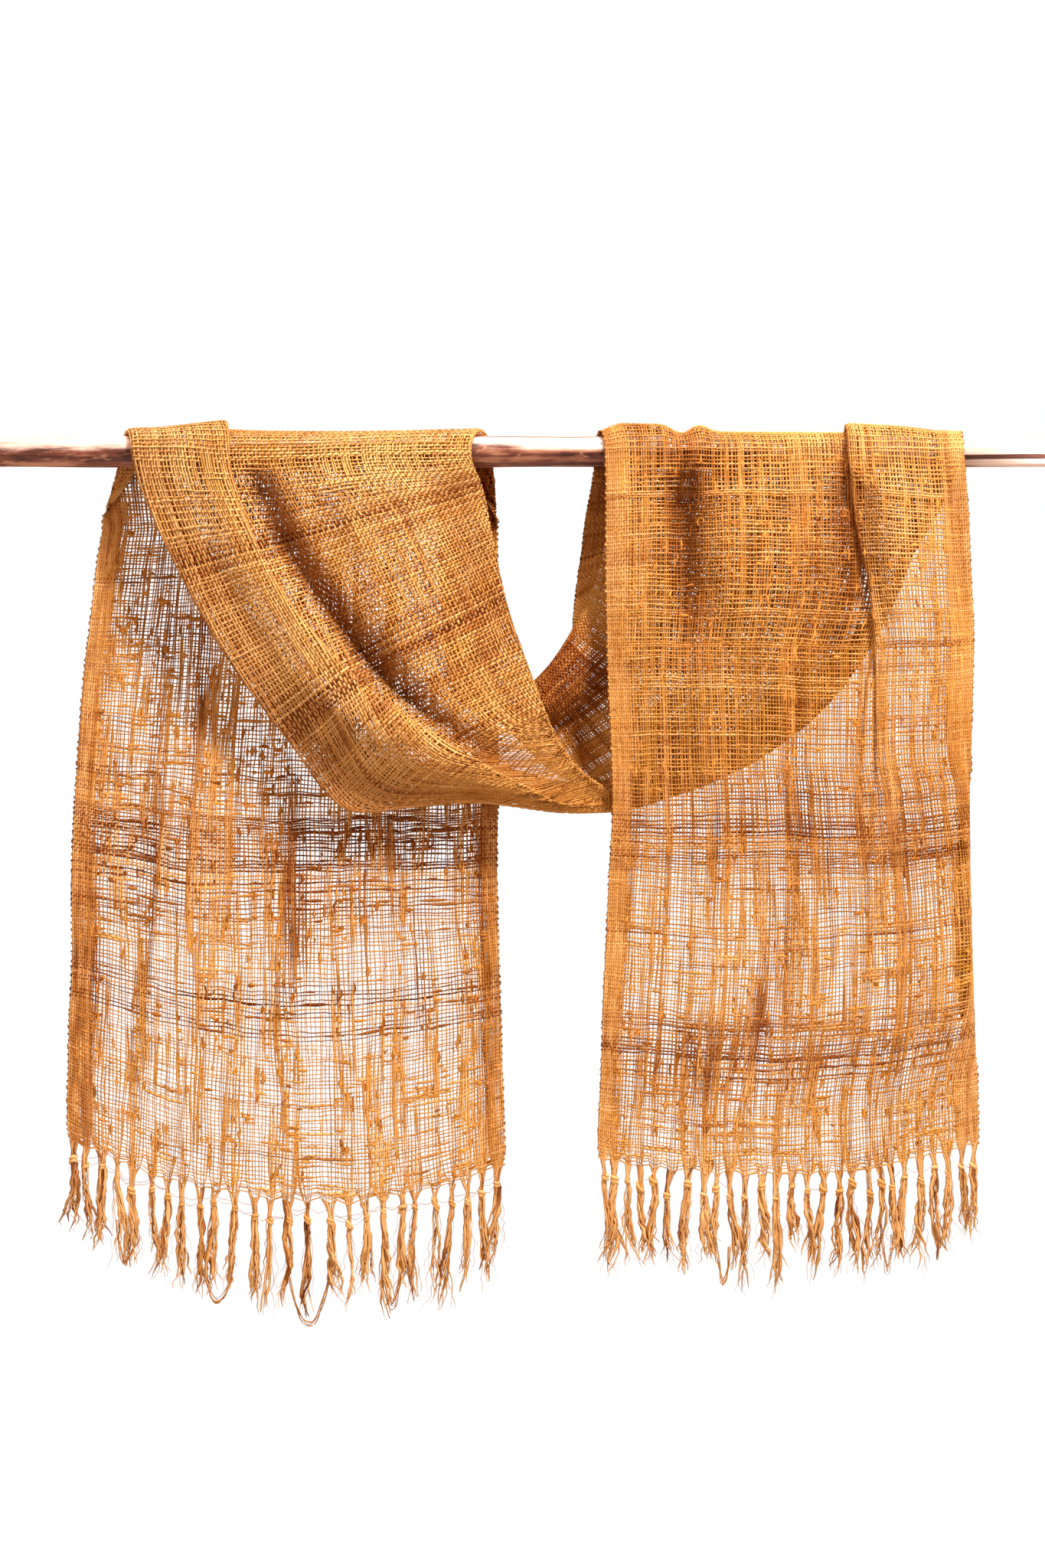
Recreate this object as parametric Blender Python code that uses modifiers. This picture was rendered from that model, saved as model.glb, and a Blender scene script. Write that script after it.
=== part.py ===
"""A handwoven silk scarf with a knotted fringe, hung over a plain wooden rod.

Sizes are in millimetres. X runs along the rod, Y goes away from the viewer, Z is up, and the
origin is on the rod's axis at the middle of its length.
"""

import math

import bpy
import numpy as np

MM = 0.001

ROD_RADIUS = 12.5
ROD_HALF_LENGTH = 450.0
ROD_SIDES = 40
CLOTH_WIDTH = 345.0
WALL = 1.05
SEAM_GAP = 0.4
LAYER_GAP = 3.4
SOFTNESS = 1.4
SAMPLE = 0.7
HEM_STRIP = 8.0

# Fold lines of the swag, one row each: x, depth and height at twelve sections, from the left
# crossing of the rod, round the bottom, to the right crossing.
SWAG_LINES = {
    "outer_edge": ((-283, -13.7, 0), (-238, -8.6, -90), (-158, -6.6, -195), (-100, -3.6, -243),
                   (-38, 3.5, -243), (36, 11, -259), (66, 13, -258), (100, 14, -250),
                   (158, 15.5, -222), (236, 17.5, -168), (304, 20.5, -86), (343, 14.5, 0)),
    "outer": ((-305, -15.6, 0), (-265, -11, -102), (-187, -10, -222), (-126, -8, -283),
              (-41, -4, -275), (38, 0, -283), (73, 2, -282), (112, 4, -272), (180, 8, -244),
              (250, 12, -187), (305, 14, -86), (325, 15, 0)),
    "ridge": ((-228, -21.2, 0), (-201, -20, -84), (-128, -19, -178), (-62, -18, -226),
              (-3, -16, -259), (43, -11, -277), (73.5, -10, -274), (106, -8, -266),
              (168, -1, -237), (224, 6, -178), (258, 14, -84), (253, 19.6, 0)),
    "lip": ((-40, -15.9, 0), (-31, -12, -30), (-12, -12, -120), (12, -12, -188), (28, -12, -226),
            (50, -12, -253), (72.5, -11, -265), (100, -9, -256), (140, -5, -222), (190, 1, -160),
            (215, 10, -78), (152, 15.5, 0)),
    "well": ((-44, -13.8, 0), (-40, -9, -33), (-24, -7, -128), (-2, -7, -197), (17, 0, -244),
             (45, 4, -259), (66, 4, -256), (88, 3, -243), (122, 7, -206), (168, 11, -150),
             (190, 14, -74), (138, 16, 0)),
    "hollow": ((-48, -13.7, 0), (-46, -8, -36), (-36, -4, -135), (-14, -4, -205), (5, 11, -231),
               (24, 17, -224), (41, 19, -217), (60, 20, -207), (95, 19, -178), (135, 17, -136),
               (150, 16, -70), (126, 14.5, 0)),
    "roll": ((-52, -13.7, 0), (-54, -7.5, -39), (-46, -3, -142), (-26, 0, -207), (1, 6, -216),
             (12, -2, -203), (23, -3, -193), (34, -3, -182), (55, -1, -150), (76, 3, -118),
             (92, 10, -64), (108, 18, 0)),
    "crest": ((-56, -13.7, 0), (-60, -7, -41), (-54, -2, -148), (-36, 3, -204), (-3, 7, -199),
              (2, 4, -187), (12, 4, -177), (22, 4, -166), (40, 5, -138), (55, 6, -108),
              (67, 9, -60), (80, 18, 0)),
    "inner_edge": ((-60, -13.7, 0), (-66, -6, -43), (-61, -2, -155), (-43, 8, -200),
                   (-1, 14, -207), (5, 12, -204), (15, 12, -194), (24, 11, -183), (38, 12, -152),
                   (41, 12, -118), (48, 13, -62), (57, 15, 0)),
}

# Half the gap inside each turn of the cloth at the same sections, and the overlap of the pleat.
SWAG_SIZES = {
    "outer": (1.7, 2.2, 2.5, 3.0, 5.5, 9.0, 9.0, 8.5, 6.0, 3.5, 2.2, 0.5),
    "pleat": (1.9, 1.9, 1.9, 1.9, 1.9, 1.5, 0.5, 0.3, 0.0, -1.2, -1.9, -1.9),
    "overlap": (16, 15, 20, 20, 10, 2, -3, -6, -8, -8, 8, 12),
    "lip": (1.8, 1.8, 1.8, 1.8, 2.0, 2.0, 1.8, 1.5, 1.0, 0.5, 0.3, 0.3),
    "crest": (0, 0, 0, 0.7, 1.8, 2.4, 2.4, 2.4, 2.4, 2.4, 1.6, 0.5),
}
# How far the band of the swag sinks in its trough, and swells beside the pleat.
SWAG_TROUGH = (0, 0, 2.0, 3.5, 2.5, 0, 0, 0, 0, 0, 0, 0)
SWAG_SWELL = (0, 1.0, 1.5, 1.5, 1.0, 0, 0, 0, 0, 0, 0, 0)

# Tail that hangs behind the rod: drop, outer edge, inner edge, depth.
LEFT_TAIL = ((0, -316, -24, 17.2), (60, -331, -20, 18.5), (190, -347, -18, 22.0),
             (340, -356, -20, 22.0), (565, -360, -12, 21.0))
# Its margins: drop, width folded in at the outer edge and at the inner one. Below zero it opens.
LEFT_MARGINS = ((0, 20, 20), (25, 12, 14), (60, -7, -7), (90, -20, -20), (565, -20, -20))
# Tail that hangs before the rod: drop, outer edge, inner edge, depth.
RIGHT_TAIL = ((0, 343, 64, -15.2), (70, 348, 65, -16.0), (150, 351, 66, -17.0),
              (276, 348, 70, -19.0), (354, 349, 67, -18.0), (486, 353, 61, -16.0),
              (560, 356, 58, -15.0))
# Its outer margin: drop, width folded in.
RIGHT_MARGIN = ((0, -18), (220, -18), (290, 14), (440, 14), (545, -16), (560, -18))
# Its long fold: drop, x, lap.
RIGHT_RIDGE = ((0, 253, 12), (70, 262, 12), (110, 270, 10), (205, 275, -9), (350, 270, -12),
               (560, 268, -12))
# How far its folds stand out: drop, share.
RIGHT_RELIEF = ((0, 1.0), (190, 0.9), (290, 0.3), (560, 0.1))
RIGHT_DEPTHS = (0, 0, -1.0, -3.6, -5, -6.6, -3.0, -2.6, 0.6, 0, -0.3, -0.3, -2.5, 1.4, -4.5,
                -3.5, -3, 0.5)
# Each fold line's place across the flat cloth, from the outer selvedge.
FLAT_PLACES = (0, 20, 22, 45, 68, 92, 94, 101, 103, 190, 285, 289, 298, 308, 320, 329, 332, 345)
# Hems: drop at the outer corner, drop at the inner corner, sag between them.
LEFT_HEM = (543, 564, 41)
RIGHT_HEM = (540, 552, 20)
# Puffs above the rod: x, half width, lift.
PUFFS = ((-240, 16, 2.5), (-62, 18, 5.0), (86, 30, 4.0), (134, 10, 4.0), (290, 34, 1.5))

LEFT_SHARES = (1, 0.8, 0.6, 0.4, 0.25, 0.16, 0.13, 0.11, 0.095, 0.08, 0.065, 0.045, 0.02, 0)
RIGHT_SHARES = (0, 0.02, 0.06, 0.125, 0.2, 0.24, 0.28, 0.34, 0.4, 0.43, 0.46, 0.49, 0.52, 0.6, 0.7,
                0.8, 0.84, 0.87, 0.895, 0.92, 0.95, 1)
ROD_ANGLES = tuple(range(18, 180, 18))
# Pairs of fold lines with a turn of the cloth between them.
TURNS = ((1, 2), (5, 6), (7, 8), (10, 11), (15, 16))

# Fringes: knots, drop of the knots below the hem, length below the knots.
FRINGES = {"fringe_left": (26, 15.0, 78.0), "fringe_right": (27, 15.0, 74.0)}


def unit(v):
    return v / np.linalg.norm(v)


def eased(knots, values, at):
    """Values between the knots, with no overshoot."""
    knots, values, at = (np.asarray(v, float) for v in (knots, values, at))
    flat = values.reshape(len(knots), -1)
    step = np.diff(knots)[:, None]
    slope = np.diff(flat, axis=0) / step
    left, right = slope[:-1], slope[1:]
    near, far = 2 * step[1:] + step[:-1], step[1:] + 2 * step[:-1]
    same = left * right > 0
    safe_left, safe_right = np.where(same, left, 1), np.where(same, right, 1)
    inner = np.where(same, (near + far) / (near / safe_left + far / safe_right), 0)
    tangent = np.concatenate([slope[:1], inner, slope[-1:]])
    i = np.clip(np.searchsorted(knots, at, side="right") - 1, 0, len(knots) - 2)
    t = np.clip((at - knots[i]) / step[i, 0], 0, 1)[:, None]
    start, end = tangent[i] * step[i], tangent[i + 1] * step[i]
    out = (flat[i] * (1 + 2 * t) * (1 - t) ** 2 + start * t * (1 - t) ** 2
           + flat[i + 1] * t * t * (3 - 2 * t) + end * t * t * (t - 1))
    return out.reshape((len(at),) + values.shape[1:])


def read(table, at):
    table = np.array(table, float)
    return eased(table[:, 0], table[:, 1:], [at])[0]


def swag_row(i):
    """The fold lines' points at one section of the swag."""
    line = {name: np.array(row[i], float) for name, row in SWAG_LINES.items()}
    size = {name: row[i] for name, row in SWAG_SIZES.items()}
    depth = np.array((0, 1.0, 0))
    along = unit((line["lip"] - line["ridge"]) * (1, 0, 1)) if i < 11 else np.array((-1.0, 0, 0))
    over = line["outer"] - depth * size["outer"]
    ridge_over = line["ridge"] - depth * size["pleat"]
    tuck = line["ridge"] - along * size["overlap"] + depth * 2.2 * size["pleat"]
    tuck_under = tuck + depth * 0.85 * size["pleat"]
    return np.array([
        line["outer_edge"], line["outer"] + depth * size["outer"], over,
        over * 0.63 + ridge_over * 0.37 + depth * SWAG_TROUGH[i],
        over * 0.27 + ridge_over * 0.73 - depth * SWAG_SWELL[i],
        ridge_over, line["ridge"] + depth * size["pleat"],
        tuck - depth * 0.85 * size["pleat"], tuck_under, (tuck_under + line["lip"]) / 2,
        line["lip"] - depth * size["lip"], line["lip"] + depth * size["lip"],
        line["well"], line["hollow"], line["roll"],
        line["crest"] - depth * size["crest"], line["crest"] + depth * size["crest"],
        line["inner_edge"]])


def drops(share, across, hem):
    outer, inner, sag = hem
    return -share * (outer + (inner - outer) * across + 4 * sag * across * (1 - across) * share)


def margin_lines(tip, inward, margin, side, shares):
    """Places and depths of the fold lines on a margin that turns from folded in to open."""
    turn = math.radians(90 * max(-1.0, min(1.0, margin / 6)))
    reach = margin if abs(margin) > 6 else 6 * math.sin(turn)
    shares = np.array(shares, float)
    closed = (1 + math.sin(turn)) / 2
    return tip + inward * reach * shares, side * (LAYER_GAP * closed + 5 * math.cos(turn) * shares)


def left_row(share):
    """The fold lines' points on the tail behind the rod; share is 0 at the rod, 1 at the hem."""
    down = share * LEFT_TAIL[-1][0]
    outer, inner, depth = read(LEFT_TAIL, down)
    outer_margin, inner_margin = read(LEFT_MARGINS, down)
    left, right = outer + max(0.0, -outer_margin), inner - max(0.0, -inner_margin)
    x = left + (right - left) * (np.array(FLAT_PLACES, float) - 20) / 265
    y = np.full(len(x), depth)
    for first, last, tip, inward, margin, shares in (
            (0, 2, left, 1, outer_margin, (1, 0)),
            (11, 18, right, -1, inner_margin, (0, 0.2, 0.4, 0.6, 0.8, 0.86, 1))):
        x[first:last], offset = margin_lines(tip, inward, margin, -1, shares)
        y[first:last] += offset
    x[2], x[10] = left, right
    return np.stack([x, y, drops(share, (x - outer) / (inner - outer), LEFT_HEM)], 1)


def right_row(share):
    """The fold lines' points on the tail before the rod."""
    down = share * RIGHT_TAIL[-1][0]
    outer, inner, depth = read(RIGHT_TAIL, down)
    margin = read(RIGHT_MARGIN, down)[0]
    ridge, lap = read(RIGHT_RIDGE, down)
    tip = outer - max(0.0, -margin)
    first = (tip, tip, tip, tip + (ridge - tip) * 0.35, tip + (ridge - tip) * 0.7)
    last = tuple(inner + reach for reach in (90, 86, 74, 60, 44, 18, 14, 0))
    x = np.array(first + (ridge, ridge, ridge + lap, ridge + lap, (ridge + lap + last[0]) / 2) + last)
    y = depth + np.array(RIGHT_DEPTHS) * read(RIGHT_RELIEF, down)[0]
    x[:2], offset = margin_lines(tip, -1, margin, 1, (1, 0))
    y[:2] = y[2] + offset
    return np.stack([x, y, drops(share, (outer - x) / (outer - inner), RIGHT_HEM)], 1)


def rows_over_rod(back, front, haste):
    """Rows carried over the rod, from a row behind it to a row before it."""
    rows = []
    for angle in np.radians(ROD_ANGLES):
        share = (1 - math.cos(angle)) / 2
        x = back[:, 0] * (1 - share) + front[:, 0] * share
        sooner = min(1.0, haste * share)
        reach = np.abs(back[:, 1]) * (1 - sooner) + np.abs(front[:, 1]) * sooner
        lift = sum(high * np.exp(-((x - at) / wide) ** 2) for at, wide, high in PUFFS)
        reach = reach + lift * math.sin(angle) ** 2 * np.clip((reach - 14.0) / 1.5, 0, 1)
        rows.append(np.stack([x, reach * math.cos(angle), reach * math.sin(angle)], 1))
    return rows


def whole_strip():
    """All rows from the left hem to the right one, and the length along the cloth of each."""
    left = [left_row(share) for share in LEFT_SHARES]
    swag = [swag_row(i) for i in range(len(SWAG_LINES["outer"]))]
    right = [right_row(share) for share in RIGHT_SHARES]
    parts = {"tail_left": left, "over_left": rows_over_rod(left[-1], swag[0], 1.8), "swag": swag,
             "over_right": rows_over_rod(swag[-1], right[0], 1.0), "tail_right": right}
    rows = np.array([row for part in parts.values() for row in part])
    steps = np.linalg.norm(np.diff(rows, axis=0), axis=2).mean(1)
    along = np.concatenate([[0], np.cumsum(steps)])
    count = {name: len(part) for name, part in parts.items()}
    first_turn = count["tail_left"] + count["over_left"]
    second_turn = first_turn + count["swag"] - 1
    marks = {"hem_left": 0, "rod_back_left": along[count["tail_left"] - 1],
             "rod_front_left": along[first_turn], "bottom": along[first_turn + 6],
             "rod_back_right": along[second_turn],
             "rod_front_right": along[second_turn + count["over_right"] + 1],
             "hem_right": along[-1]}
    return along, rows, marks


def softened(line, reach):
    """The line with its corners rounded off."""
    n = int(3 * reach + 1)
    weights = np.exp(-0.5 * (np.arange(-n, n + 1) / reach) ** 2)
    weights /= weights.sum()
    padded = np.concatenate([2 * line[0] - line[n:0:-1], line, 2 * line[-1] - line[-2:-n - 2:-1]])
    return np.stack([np.convolve(padded[:, k], weights, "valid") for k in range(3)], 1)


def section(keys):
    """One section of the cloth: evenly spaced points, the place of each, and that of each key."""
    steps = np.maximum(np.linalg.norm(np.diff(keys, axis=0), axis=1), 0.3)
    knots = np.concatenate([[0], np.cumsum(steps)])
    at = np.linspace(0, knots[-1], int(4 * knots[-1]))
    line = eased(knots, keys, at)
    length = np.concatenate([[0], np.cumsum(np.linalg.norm(np.diff(line, axis=0), axis=1))])
    places = np.interp(knots, at, length)
    even = np.linspace(0, length[-1], int(length[-1] / SAMPLE) + 1)
    line = np.stack([np.interp(even, length, line[:, k]) for k in range(3)], 1)
    return softened(line, SOFTNESS / SAMPLE), even, places


def columns_of(places, turn_points, span_points):
    """Places of the mesh columns: close together in each turn, wide apart between."""
    found, start = [0.0], 0.0
    ends = [places[a] for a, _ in TURNS] + [places[-1]]
    for number, end in enumerate(ends):
        before = min(3.5, 0.3 * (end - start))
        stop = end - (before if number < len(TURNS) else 0)
        count = span_points[number]
        found += [start + (stop - start) * (n + 1) / (count + 1) for n in range(count)]
        if number == len(TURNS):
            found.append(end)
            break
        close = places[TURNS[number][1]]
        after = min(3.5, 0.3 * (ends[number + 1] - close))
        found += [stop + (close + after - stop) * n / (turn_points - 1) for n in range(turn_points)]
        start = close + after
    return np.array(found)


def row_points(strip, station, turn_points, span_points):
    """Points across the cloth at one station, and the way across at each."""
    line, at, places = section(eased(strip[0], strip[1], [station])[0])
    columns = columns_of(places, turn_points, span_points)
    slope = np.gradient(line, axis=0)
    return [np.stack([np.interp(columns, at, v[:, k]) for k in range(3)], 1) for v in (line, slope)]


def grid_points(strip, stations, turn_points, span_points):
    """A grid of points on the cloth, and the way out of its face at each."""
    points, out = [], []
    for station in stations:
        here, across = row_points(strip, station, turn_points, span_points)
        before, _ = row_points(strip, station - 1, turn_points, span_points)
        after, _ = row_points(strip, station + 1, turn_points, span_points)
        normal = np.cross(across, after - before)
        points.append(here)
        out.append(normal / np.linalg.norm(normal, axis=1, keepdims=True))
    return np.array(points), np.array(out)


def between(strip, start, end, extra):
    """Stations of a stretch: its two ends, the rows of the fold lines, and some more between."""
    inner = [s for s in strip[0] if start + 3 < s < end - 3]
    knots = np.array([start] + inner + [end])
    return np.unique(np.concatenate([knots] + [knots[:-1] + np.diff(knots) * (n + 1) / (extra + 1)
                                               for n in range(extra)]))


def material(name, colour, roughness):
    made = bpy.data.materials.new(name)
    made.use_nodes = True
    shader = made.node_tree.nodes["Principled BSDF"]
    shader.inputs["Base Color"].default_value = (*colour, 1)
    shader.inputs["Roughness"].default_value = roughness
    shader.inputs["Metallic"].default_value = 0
    made.diffuse_color = (*colour, 1)
    return made


def mesh_object(name, points, faces, collection, surface):
    mesh = bpy.data.meshes.new(name)
    mesh.from_pydata([tuple(MM * v for v in point) for point in points], [], faces)
    mesh.update()
    mesh.materials.append(surface)
    made = bpy.data.objects.new(name, mesh)
    collection.objects.link(made)
    return made


def cloth_wall(name, grid, collection, surface):
    """A closed wall, half its thickness to each side of a grid of points."""
    points, out = grid
    rows, columns = points.shape[:2]
    count = rows * columns
    number = np.arange(count).reshape(rows, columns)
    faces = []
    for row in range(rows - 1):
        for column in range(columns - 1):
            a, b = int(number[row, column]), int(number[row + 1, column])
            faces += [(a, b, b + 1, a + 1), (count + a, count + a + 1, count + b + 1, count + b)]
    rim = np.concatenate([number[0, :-1], number[:-1, -1], number[-1, :0:-1], number[:0:-1, 0]])
    for a, b in zip(rim.tolist(), np.roll(rim, -1).tolist()):
        faces.append((a, b, count + b, count + a))
    both = np.concatenate([(points - out * WALL / 2).reshape(-1, 3),
                           (points + out * WALL / 2).reshape(-1, 3)])
    return mesh_object(name, both, faces, collection, surface)


def tube(rings, sides, points, faces):
    """Adds a closed tube through rings, each a centre, a half width and a half depth."""
    start = len(points)
    for centre, wide, deep in rings:
        for n in range(sides):
            turn = 2 * math.pi * (n + 0.5) / sides
            points.append((centre[0] + wide * math.cos(turn), centre[1] + deep * math.sin(turn),
                           centre[2]))
    for ring in range(len(rings) - 1):
        for n in range(sides):
            a, b = start + ring * sides + n, start + ring * sides + (n + 1) % sides
            faces.append((a, a + sides, b + sides, b))
    faces.append(tuple(range(start, start + sides)))
    faces.append(tuple(start + (len(rings) - 1) * sides + n for n in reversed(range(sides))))


def tassel(hem, out, drop, length, seed, points, faces):
    """Gathered warp ends, the knot, and three strands below it."""
    sway = 2.2 * math.sin(1.9 * seed)
    knot = hem + np.array((sway, 0, -drop - 2.0 * math.sin(2.7 * seed)))
    above = hem - np.array((0, 0, -2.5))
    below = knot - np.array((0, 0, 7.0))
    tube(((above, 4.6, 0.5), (knot + (0, 0, 4.0), 1.7, 1.2), (knot, 3.2, 2.8), (below, 1.3, 1.2)),
         4, points, faces)
    for n, side in enumerate((-1, 0, 1)):
        phase = seed * 1.3 + n * 2.1
        tall = length * (0.94 + 0.06 * math.sin(3.1 * seed + n))
        rings = [(knot + np.array((0.8 * side, 0.5 * (n % 2), 0.0)), 0.6, 0.6)]
        for share in (0.5, 1.0):
            bend = 1.4 * math.sin(phase + 4.2 * share) * share
            centre = knot + np.array((side * (1.2 + 1.9 * share) + bend, 1.2 * (n % 2) + out * share,
                                      -tall * share))
            rings.append((centre, 0.75, 0.75))
        tube(rings, 3, points, faces)


def fringe(name, strip, stations, hem_at, collection, helpers, surface):
    """A narrow hem strip with its tassels."""
    count, drop, length = FRINGES[name]
    grid = grid_points(strip, stations, 3, (0, 3, 0, 3, 2, 0))
    body = cloth_wall(name, grid, collection, surface)
    line, _, _ = section(eased(strip[0], strip[1], [hem_at])[0])
    line = line[np.argsort(line[:, 0])]
    tassel_points, faces = [], []
    for n in range(count):
        share = (n + 0.5 + 0.16 * math.sin(2.3 * n)) / count
        x = line[0, 0] + 4 + (line[-1, 0] - line[0, 0] - 8) * share
        hem = np.array([x] + [np.interp(x, line[:, 0], line[:, k]) for k in (1, 2)])
        tassel(hem, 1.0, drop, length, n + 0.4 * count, tassel_points, faces)
    tassels = mesh_object(name + "_tassels", tassel_points, faces, helpers, surface)
    tassels.hide_render = True
    tassels.display_type = "WIRE"
    join = body.modifiers.new("tassels", "BOOLEAN")
    join.operation = "UNION"
    join.solver = "EXACT"
    join.use_self = True
    join.object = tassels
    return body


def rod(collection, surface):
    """The rod, with its ends slightly rounded off."""
    bpy.ops.mesh.primitive_cylinder_add(vertices=ROD_SIDES, radius=ROD_RADIUS * MM,
                                        depth=2 * ROD_HALF_LENGTH * MM,
                                        rotation=(0, math.pi / 2, 0))
    made = bpy.context.object
    bpy.ops.object.transform_apply(location=True, rotation=True, scale=True)
    made.name = "rod"
    for old in list(made.users_collection):
        old.objects.unlink(made)
    collection.objects.link(made)
    made.data.materials.append(surface)
    edge = made.modifiers.new("edges", "BEVEL")
    edge.width = 0.8 * MM
    edge.segments = 1
    edge.limit_method = "ANGLE"
    edge.angle_limit = math.radians(60)
    return made


def main():
    for old in list(bpy.data.objects):
        bpy.data.objects.remove(old, do_unlink=True)
    scarf = bpy.data.collections.new("silk_scarf")
    helpers = bpy.data.collections.new("cutters")
    for collection in (scarf, helpers):
        bpy.context.scene.collection.children.link(collection)
    silk = material("raw_silk", (0.62, 0.36, 0.09), 0.7)
    wood = material("wood", (0.28, 0.13, 0.08), 0.55)
    rod(scarf, wood)
    strip = whole_strip()
    marks = strip[2]
    left_end, right_end = marks["hem_left"] + HEM_STRIP, marks["hem_right"] - HEM_STRIP
    full, half = (1, 3, 1, 3, 4, 1), (0, 2, 0, 3, 4, 1)
    # Stretches of cloth: name, start, end, rows added, columns in a turn, columns between turns.
    stretches = (
        ("tail_left", left_end, marks["rod_back_left"], 0, 3, (0, 1, 0, 3, 0, 0)),
        ("over_left", marks["rod_back_left"], marks["rod_front_left"], 0, 5, (1, 1, 0, 2, 3, 0)),
        ("swag_front", marks["rod_front_left"], marks["bottom"], 2, 5, full),
        ("swag_back", marks["bottom"], marks["rod_back_right"], 1, 5, full),
        ("over_right", marks["rod_back_right"], marks["rod_front_right"], 0, 4, full),
        ("tail_right", marks["rod_front_right"], right_end, 0, 3, half),
    )
    for name, start, end, extra, turn_points, span_points in stretches:
        stations = between(strip, start + SEAM_GAP / 2, end - SEAM_GAP / 2, extra)
        cloth_wall(name, grid_points(strip, stations, turn_points, span_points), scarf, silk)
    fringe("fringe_left", strip, (0, left_end - SEAM_GAP / 2), 0, scarf, helpers, silk)
    fringe("fringe_right", strip, (right_end + SEAM_GAP / 2, marks["hem_right"]),
           marks["hem_right"], scarf, helpers, silk)


main()
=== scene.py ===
import math
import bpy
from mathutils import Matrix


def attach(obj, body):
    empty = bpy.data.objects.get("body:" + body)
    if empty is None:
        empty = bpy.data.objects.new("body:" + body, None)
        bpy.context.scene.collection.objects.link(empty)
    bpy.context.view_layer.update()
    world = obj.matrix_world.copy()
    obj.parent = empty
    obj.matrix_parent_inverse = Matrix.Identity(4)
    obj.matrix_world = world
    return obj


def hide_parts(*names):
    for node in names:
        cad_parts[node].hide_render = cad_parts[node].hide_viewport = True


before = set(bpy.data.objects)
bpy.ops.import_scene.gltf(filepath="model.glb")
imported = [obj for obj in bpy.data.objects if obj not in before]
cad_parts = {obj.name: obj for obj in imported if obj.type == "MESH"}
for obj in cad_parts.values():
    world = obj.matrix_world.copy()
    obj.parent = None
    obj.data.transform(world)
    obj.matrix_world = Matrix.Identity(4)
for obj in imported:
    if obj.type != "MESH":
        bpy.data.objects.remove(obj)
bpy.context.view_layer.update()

from types import SimpleNamespace

import bpy
import numpy as np
from bpy.props import FloatProperty, FloatVectorProperty, IntProperty, PointerProperty

bl_info = {
    "name": "Silk scarf on a rod",
    "version": (1, 0, 0),
    "blender": (4, 5, 0),
    "location": "3D View > Sidebar > Scarf",
    "description": "Weaves a raw silk scarf thread by thread and hangs it over a wooden rod",
    "category": "Object",
}

MM = 0.001

# The cloth's width, the gap between its folded layers, how softly its folds turn, and the
# distance between points along a section. All sizes here are in millimetres.
CLOTH_WIDTH = 345.0
LAYER_GAP = 3.4
SOFTNESS = 1.4
SAMPLE = 0.7

# Fold lines of the swag, one row each: x, depth and height at twelve sections, from the left
# crossing of the rod, round the bottom, to the right crossing.
SWAG_LINES = {
    "outer_edge": ((-283, -13.7, 0), (-238, -8.6, -90), (-158, -6.6, -195), (-100, -3.6, -243),
                   (-38, 3.5, -243), (36, 11, -259), (66, 13, -258), (100, 14, -250),
                   (158, 15.5, -222), (236, 17.5, -168), (304, 20.5, -86), (343, 14.5, 0)),
    "outer": ((-305, -15.6, 0), (-265, -11, -102), (-187, -10, -222), (-126, -8, -283),
              (-41, -4, -275), (38, 0, -283), (73, 2, -282), (112, 4, -272), (180, 8, -244),
              (250, 12, -187), (305, 14, -86), (325, 15, 0)),
    "ridge": ((-228, -21.2, 0), (-201, -20, -84), (-128, -19, -178), (-62, -18, -226),
              (-3, -16, -259), (43, -11, -277), (73.5, -10, -274), (106, -8, -266),
              (168, -1, -237), (224, 6, -178), (258, 14, -84), (253, 19.6, 0)),
    "lip": ((-40, -15.9, 0), (-31, -12, -30), (-12, -12, -120), (12, -12, -188), (28, -12, -226),
            (50, -12, -253), (72.5, -11, -265), (100, -9, -256), (140, -5, -222), (190, 1, -160),
            (215, 10, -78), (152, 15.5, 0)),
    "well": ((-44, -13.8, 0), (-40, -9, -33), (-24, -7, -128), (-2, -7, -197), (17, 0, -244),
             (45, 4, -259), (66, 4, -256), (88, 3, -243), (122, 7, -206), (168, 11, -150),
             (190, 14, -74), (138, 16, 0)),
    "hollow": ((-48, -13.7, 0), (-46, -8, -36), (-36, -4, -135), (-14, -4, -205), (5, 11, -231),
               (24, 17, -224), (41, 19, -217), (60, 20, -207), (95, 19, -178), (135, 17, -136),
               (150, 16, -70), (126, 14.5, 0)),
    "roll": ((-52, -13.7, 0), (-54, -7.5, -39), (-46, -3, -142), (-26, 0, -207), (1, 6, -216),
             (12, -2, -203), (23, -3, -193), (34, -3, -182), (55, -1, -150), (76, 3, -118),
             (92, 10, -64), (108, 18, 0)),
    "crest": ((-56, -13.7, 0), (-60, -7, -41), (-54, -2, -148), (-36, 3, -204), (-3, 7, -199),
              (2, 4, -187), (12, 4, -177), (22, 4, -166), (40, 5, -138), (55, 6, -108),
              (67, 9, -60), (80, 18, 0)),
    "inner_edge": ((-60, -13.7, 0), (-66, -6, -43), (-61, -2, -155), (-43, 8, -200),
                   (-1, 14, -207), (5, 12, -204), (15, 12, -194), (24, 11, -183), (38, 12, -152),
                   (41, 12, -118), (48, 13, -62), (57, 15, 0)),
}
# The section at which the swag is cut into a front piece and a back piece.
SWAG_BOTTOM = 6
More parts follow.
